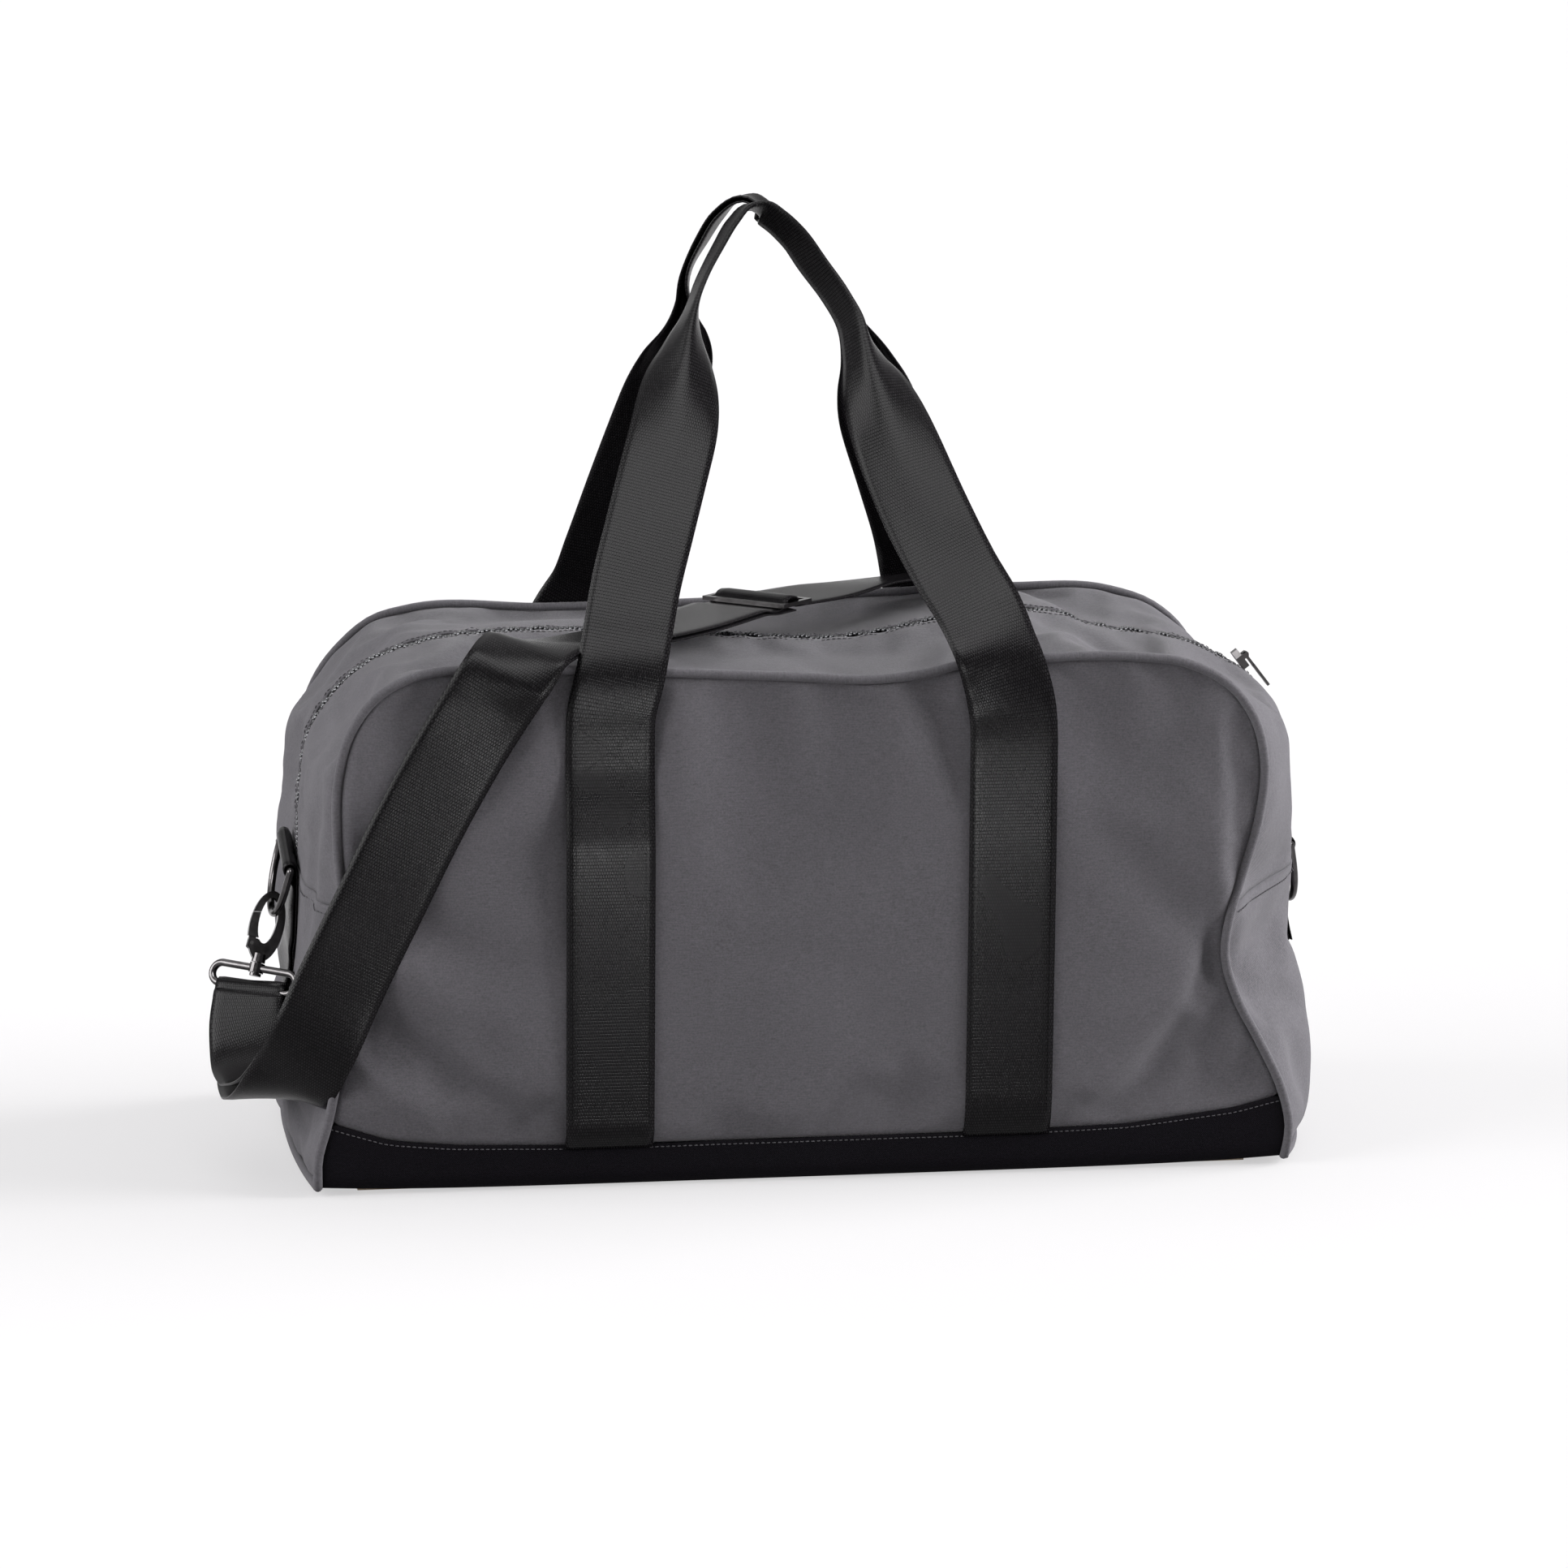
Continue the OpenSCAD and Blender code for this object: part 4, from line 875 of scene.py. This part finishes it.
LEFT_BAR = np.array([-306.8, -5.1, 94.0])
RIGHT_BAR = np.array([184.0, 146.0, 78.0])
upper, lower = layer(DOUBLED, 1, 340), layer(DOUBLED, -1, 340)
left_wrap = turn_round(LEFT_BAR, lower[0], np.array([-0.04, 0.12, 0.99]), 45)
tail = np.array([on_strap(4, -4.9), on_strap(-6, -4.9), on_strap(-14, -4.9)])
single = spline([on_strap(20, -2.7)] + SINGLE, 320)
for row in single:
    if row[1] > 115 and row[2] < 302:  # down the back it stays outside the back panel
        row[1] = max(row[1], face_y(row[0], row[2], 1) + 1.6)
single[:, 1] = np.convolve(np.pad(single[:, 1], 4, "edge"), np.ones(9) / 9, "valid")
right_wrap = turn_round(RIGHT_BAR, single[-1], np.array([0, 0, -1.0]), 44)
strap = np.vstack([tail, lower[::-1], left_wrap, upper, spline(THREADED, 60), single, right_wrap,
                   spline(SINGLE_END, 50)])
webbing("shoulder_strap", strap, "shell", 1500, ("shoulder_strap",), 1.8)

# ---------------------------------------------------------------- ring tabs

# Middle of each ring's bar, side of the bag, tilt of the bar, height of the tab's foot.
RING_BARS = {"left": (np.array([-285.52, 0, 173.5]), -1, math.radians(14), 97),
             "right": (np.array([302.52, 0, 168.0]), 1, 0.0, 110)}


def tab_rows(side):
    """Webbing up from the seam on the end, round the ring's bar and down again."""
    centre, sign, tilt, foot = RING_BARS[side]
    w = np.array([0, math.cos(tilt), math.sin(tilt)])
    up = np.array([0, -math.sin(tilt), math.cos(tilt)])
    inner, outer = [], []
    for z in np.arange(foot, centre[2] - 9, 8):
        p = centre + up * (z - centre[2])
        x = max(sign * surface((sign * 400, p[1] + d, z), (-sign, 0, 0))[0] for d in (-20, -8, 0, 8, 20))
        inner.append([sign * (x + 1.2), p[1], p[2], *w, BAND, 0])
        outer.append([sign * (x + 3.1), p[1], p[2], *w, BAND, 0])
    turn = [[*(centre + BAR_RADIUS * (np.array([sign * math.sin(a), 0, 0]) + up * math.cos(a))), *w, BAND, 0]
            for a in np.radians([-80, -50, -20, 10, 40, 70, 95])]
    return inner + turn + outer[::-1]


for side in ("left", "right"):
    webbing(side + "_tab_webbing", tab_rows(side), "shell", 160, (side + "_ring_tab",), 1.7)

# ---------------------------------------------------------------- stitching

SEAM_THREAD = (GREY_THREAD, "canvas", 0.42)  # material, slot, radius
LEG_THREAD = (BLACK_THREAD, "webbing", 0.3)


def beside_seam(a, b, share, lift):
    """A line between two rows of the bag's points, lifted off the cloth."""
    points = pool[a] * (1 - share) + pool[b] * share
    normals = unit(outs[a] * (1 - share) + outs[b] * share)
    return points + normals * lift, normals


gusset = band[SEAM_LEFT + 1:SEAM_RIGHT]
base_lines = [beside_seam(grid[FOOT], grid[FOOT - 1], 0.55, 1.0) for grid in (front_grid, back_grid)]
end_lines = [beside_seam(band[i], band[i + step], 0.8, 0.8) for i, step in ((SEAM_LEFT, -1), (SEAM_RIGHT, 1))]
zip_lines = [beside_seam(gusset[:, MID + k], gusset[:, MID + 2 * k], 0.3, 0.15) for k in (-1, 1)]
stitches("base_stitching", base_lines, "shell", *SEAM_THREAD)
stitches("end_stitching", end_lines, "shell", *SEAM_THREAD)
stitches("zip_stitching", zip_lines, "shell", *SEAM_THREAD)


def leg_line(side, middle, points):
    """Stitching on a sewn leg through the given x, z."""
    rows = spline([(x, side * (face_y(middle, z, side) + 2.3), z) for x, z in points], 10 * len(points))
    return rows, np.tile([0.0, side, 0.0], (len(rows), 1))


for name, side in (("front_handle", -1), ("back_handle", 1)):
    edges, boxes = [], []
    for x in LEGS_X:
        for dx in (-22.4, -19.6, 19.6, 22.4):
            edges.append(leg_line(side, x, [(x + dx, z) for z in range(30, 236, 12)]))
        a, b, c, d = (x - 20, 237), (x + 20, 237), (x + 20, 268), (x - 20, 268)
        for p, q in ((a, b), (b, c), (c, d), (d, a), (a, c), (b, d)):
            line = [(p[0] + (q[0] - p[0]) * t, p[1] + (q[1] - p[1]) * t) for t in np.linspace(0, 1, 5)]
            boxes.append(leg_line(side, x, line))
    stitches(name + "_edge_stitching", edges, "shell", *LEG_THREAD)
    bend_at_hinge(stitches(name + "_box_stitching", boxes, None, *LEG_THREAD))

# ---------------------------------------------------------------- hardware and inner parts

FITTINGS = ("left_d_ring", "right_d_ring", "left_strap_loop", "right_strap_loop", "left_hook", "right_hook",
            "left_hook_gate", "right_hook_gate", "strap_adjuster", "zip_slider", "zip_pull", "zip_end_stops")
GATE_PINS = ("left_gate_pin", "right_gate_pin")
for material, names in ((METAL, FITTINGS), (PIN, GATE_PINS), (BOARD, ("base_board",))):
    for name in names:
        mesh = nodes[name].data
        mesh.materials.clear()
        mesh.materials.append(material)
        for polygon in mesh.polygons:
            polygon.material_index = 0

# ---------------------------------------------------------------- floor, light, camera

floor_mat, floor_tree, floor_bsdf = new_material("floor", (0.21, 0.207, 0.21), 1.0)
floor_bsdf.inputs["Specular IOR Level"].default_value = 0
floor_bsdf.inputs["Emission Color"].default_value = (1, 0.99, 1, 1)
seen = floor_tree.nodes.new("ShaderNodeLightPath").outputs["Is Camera Ray"]
floor_glow = math_node(floor_tree, "ADD", math_node(floor_tree, "MULTIPLY", seen, 0.18), 0.36)
floor_tree.links.new(floor_glow, floor_bsdf.inputs["Emission Strength"])
bpy.ops.mesh.primitive_plane_add(size=60, location=(0, 0, 0))
floor = bpy.context.object
floor.name = "floor"
floor.data.materials.append(floor_mat)

# White to the camera; to the bag, dimmer in front than behind and above.
world = bpy.data.worlds.new("studio")
bpy.context.scene.world = world
world.use_nodes = True
wt = world.node_tree
background = wt.nodes["Background"]
direction = wt.nodes.new("ShaderNodeSeparateXYZ")
wt.links.new(wt.nodes.new("ShaderNodeTexCoord").outputs["Generated"], direction.inputs[0])
is_camera = wt.nodes.new("ShaderNodeLightPath").outputs["Is Camera Ray"]
behind = math_node(wt, "ADD", math_node(wt, "MULTIPLY", direction.outputs[1], 0.2), 0.46)
steep = math_node(wt, "POWER", math_node(wt, "ABSOLUTE", direction.outputs[2]), 4.0)
above = math_node(wt, "MULTIPLY", steep, 0.6)
glow = math_node(wt, "ADD", behind, above)
to_white = math_node(wt, "MULTIPLY", is_camera, math_node(wt, "SUBTRACT", 1.0, glow))
strength = math_node(wt, "ADD", glow, to_white)
wt.links.new(strength, background.inputs["Strength"])
background.inputs["Color"].default_value = (1, 1, 1, 1)


def soft_sun(name, towards, strength, spread):
    """Soft light from a large source that stands towards the given direction."""
    light = bpy.data.lights.new(name, "SUN")
    light.energy = strength
    light.angle = math.radians(spread)
    obj = bpy.data.objects.new(name, light)
    bpy.context.scene.collection.objects.link(obj)
    obj.rotation_euler = Vector(towards).to_track_quat("Z", "Y").to_euler()
    return obj


soft_sun("left_light", (-0.95, -0.14, 0.32), 4.7, 50)
soft_sun("right_light", (0.95, 0.0, 0.26), 12.0, 50).visible_glossy = False
soft_sun("top_light", (0.05, 0.25, 1), 0.5, 70)


def gloss_card(name, centre, width, height, tilt, radiance):
    """A bright card that only shows as a reflection."""
    glow_mat, glow_tree, glow_bsdf = new_material(name, (0, 0, 0), 1.0)
    glow_bsdf.inputs["Emission Color"].default_value = (1, 1, 1, 1)
    glow_bsdf.inputs["Emission Strength"].default_value = radiance
    bpy.ops.mesh.primitive_plane_add(size=1, location=centre, rotation=(math.radians(tilt), 0, 0))
    card = bpy.context.object
    card.name = name
    card.scale = (width, height, 1)
    card.data.materials.append(glow_mat)
    card.visible_camera = card.visible_diffuse = card.visible_shadow = False


gloss_card("low_card", (0.05, -0.78, 0.11), 0.36, 0.05, 90, 52)
gloss_card("high_card", (0.1, -1.0, 1.35), 1.8, 0.8, 40, 9)

camera_data = bpy.data.cameras.new("camera")
camera = bpy.data.objects.new("camera", camera_data)
bpy.context.scene.collection.objects.link(camera)
azimuth, elevation, distance, roll = math.radians(-9.22), math.radians(11.06), 3.308, math.radians(0.44)
target = Vector((0.0047, 0, 0.206))
level = math.cos(elevation)
back = Vector((math.sin(azimuth) * level, -math.cos(azimuth) * level, math.sin(elevation)))
right = (-back).cross(Vector((0, 0, 1))).normalized()
up = right.cross(-back)
right, up = right * math.cos(roll) + up * math.sin(roll), up * math.cos(roll) - right * math.sin(roll)
turn = Matrix((right, up, back)).transposed().to_4x4()
camera.matrix_world = Matrix.Translation(target + back * distance) @ turn
camera_data.sensor_width = 36
camera_data.lens = 36 * 6983 / 1932
camera_data.clip_end = 50
bpy.context.scene.camera = camera
bpy.context.scene.view_settings.view_transform = "Standard"
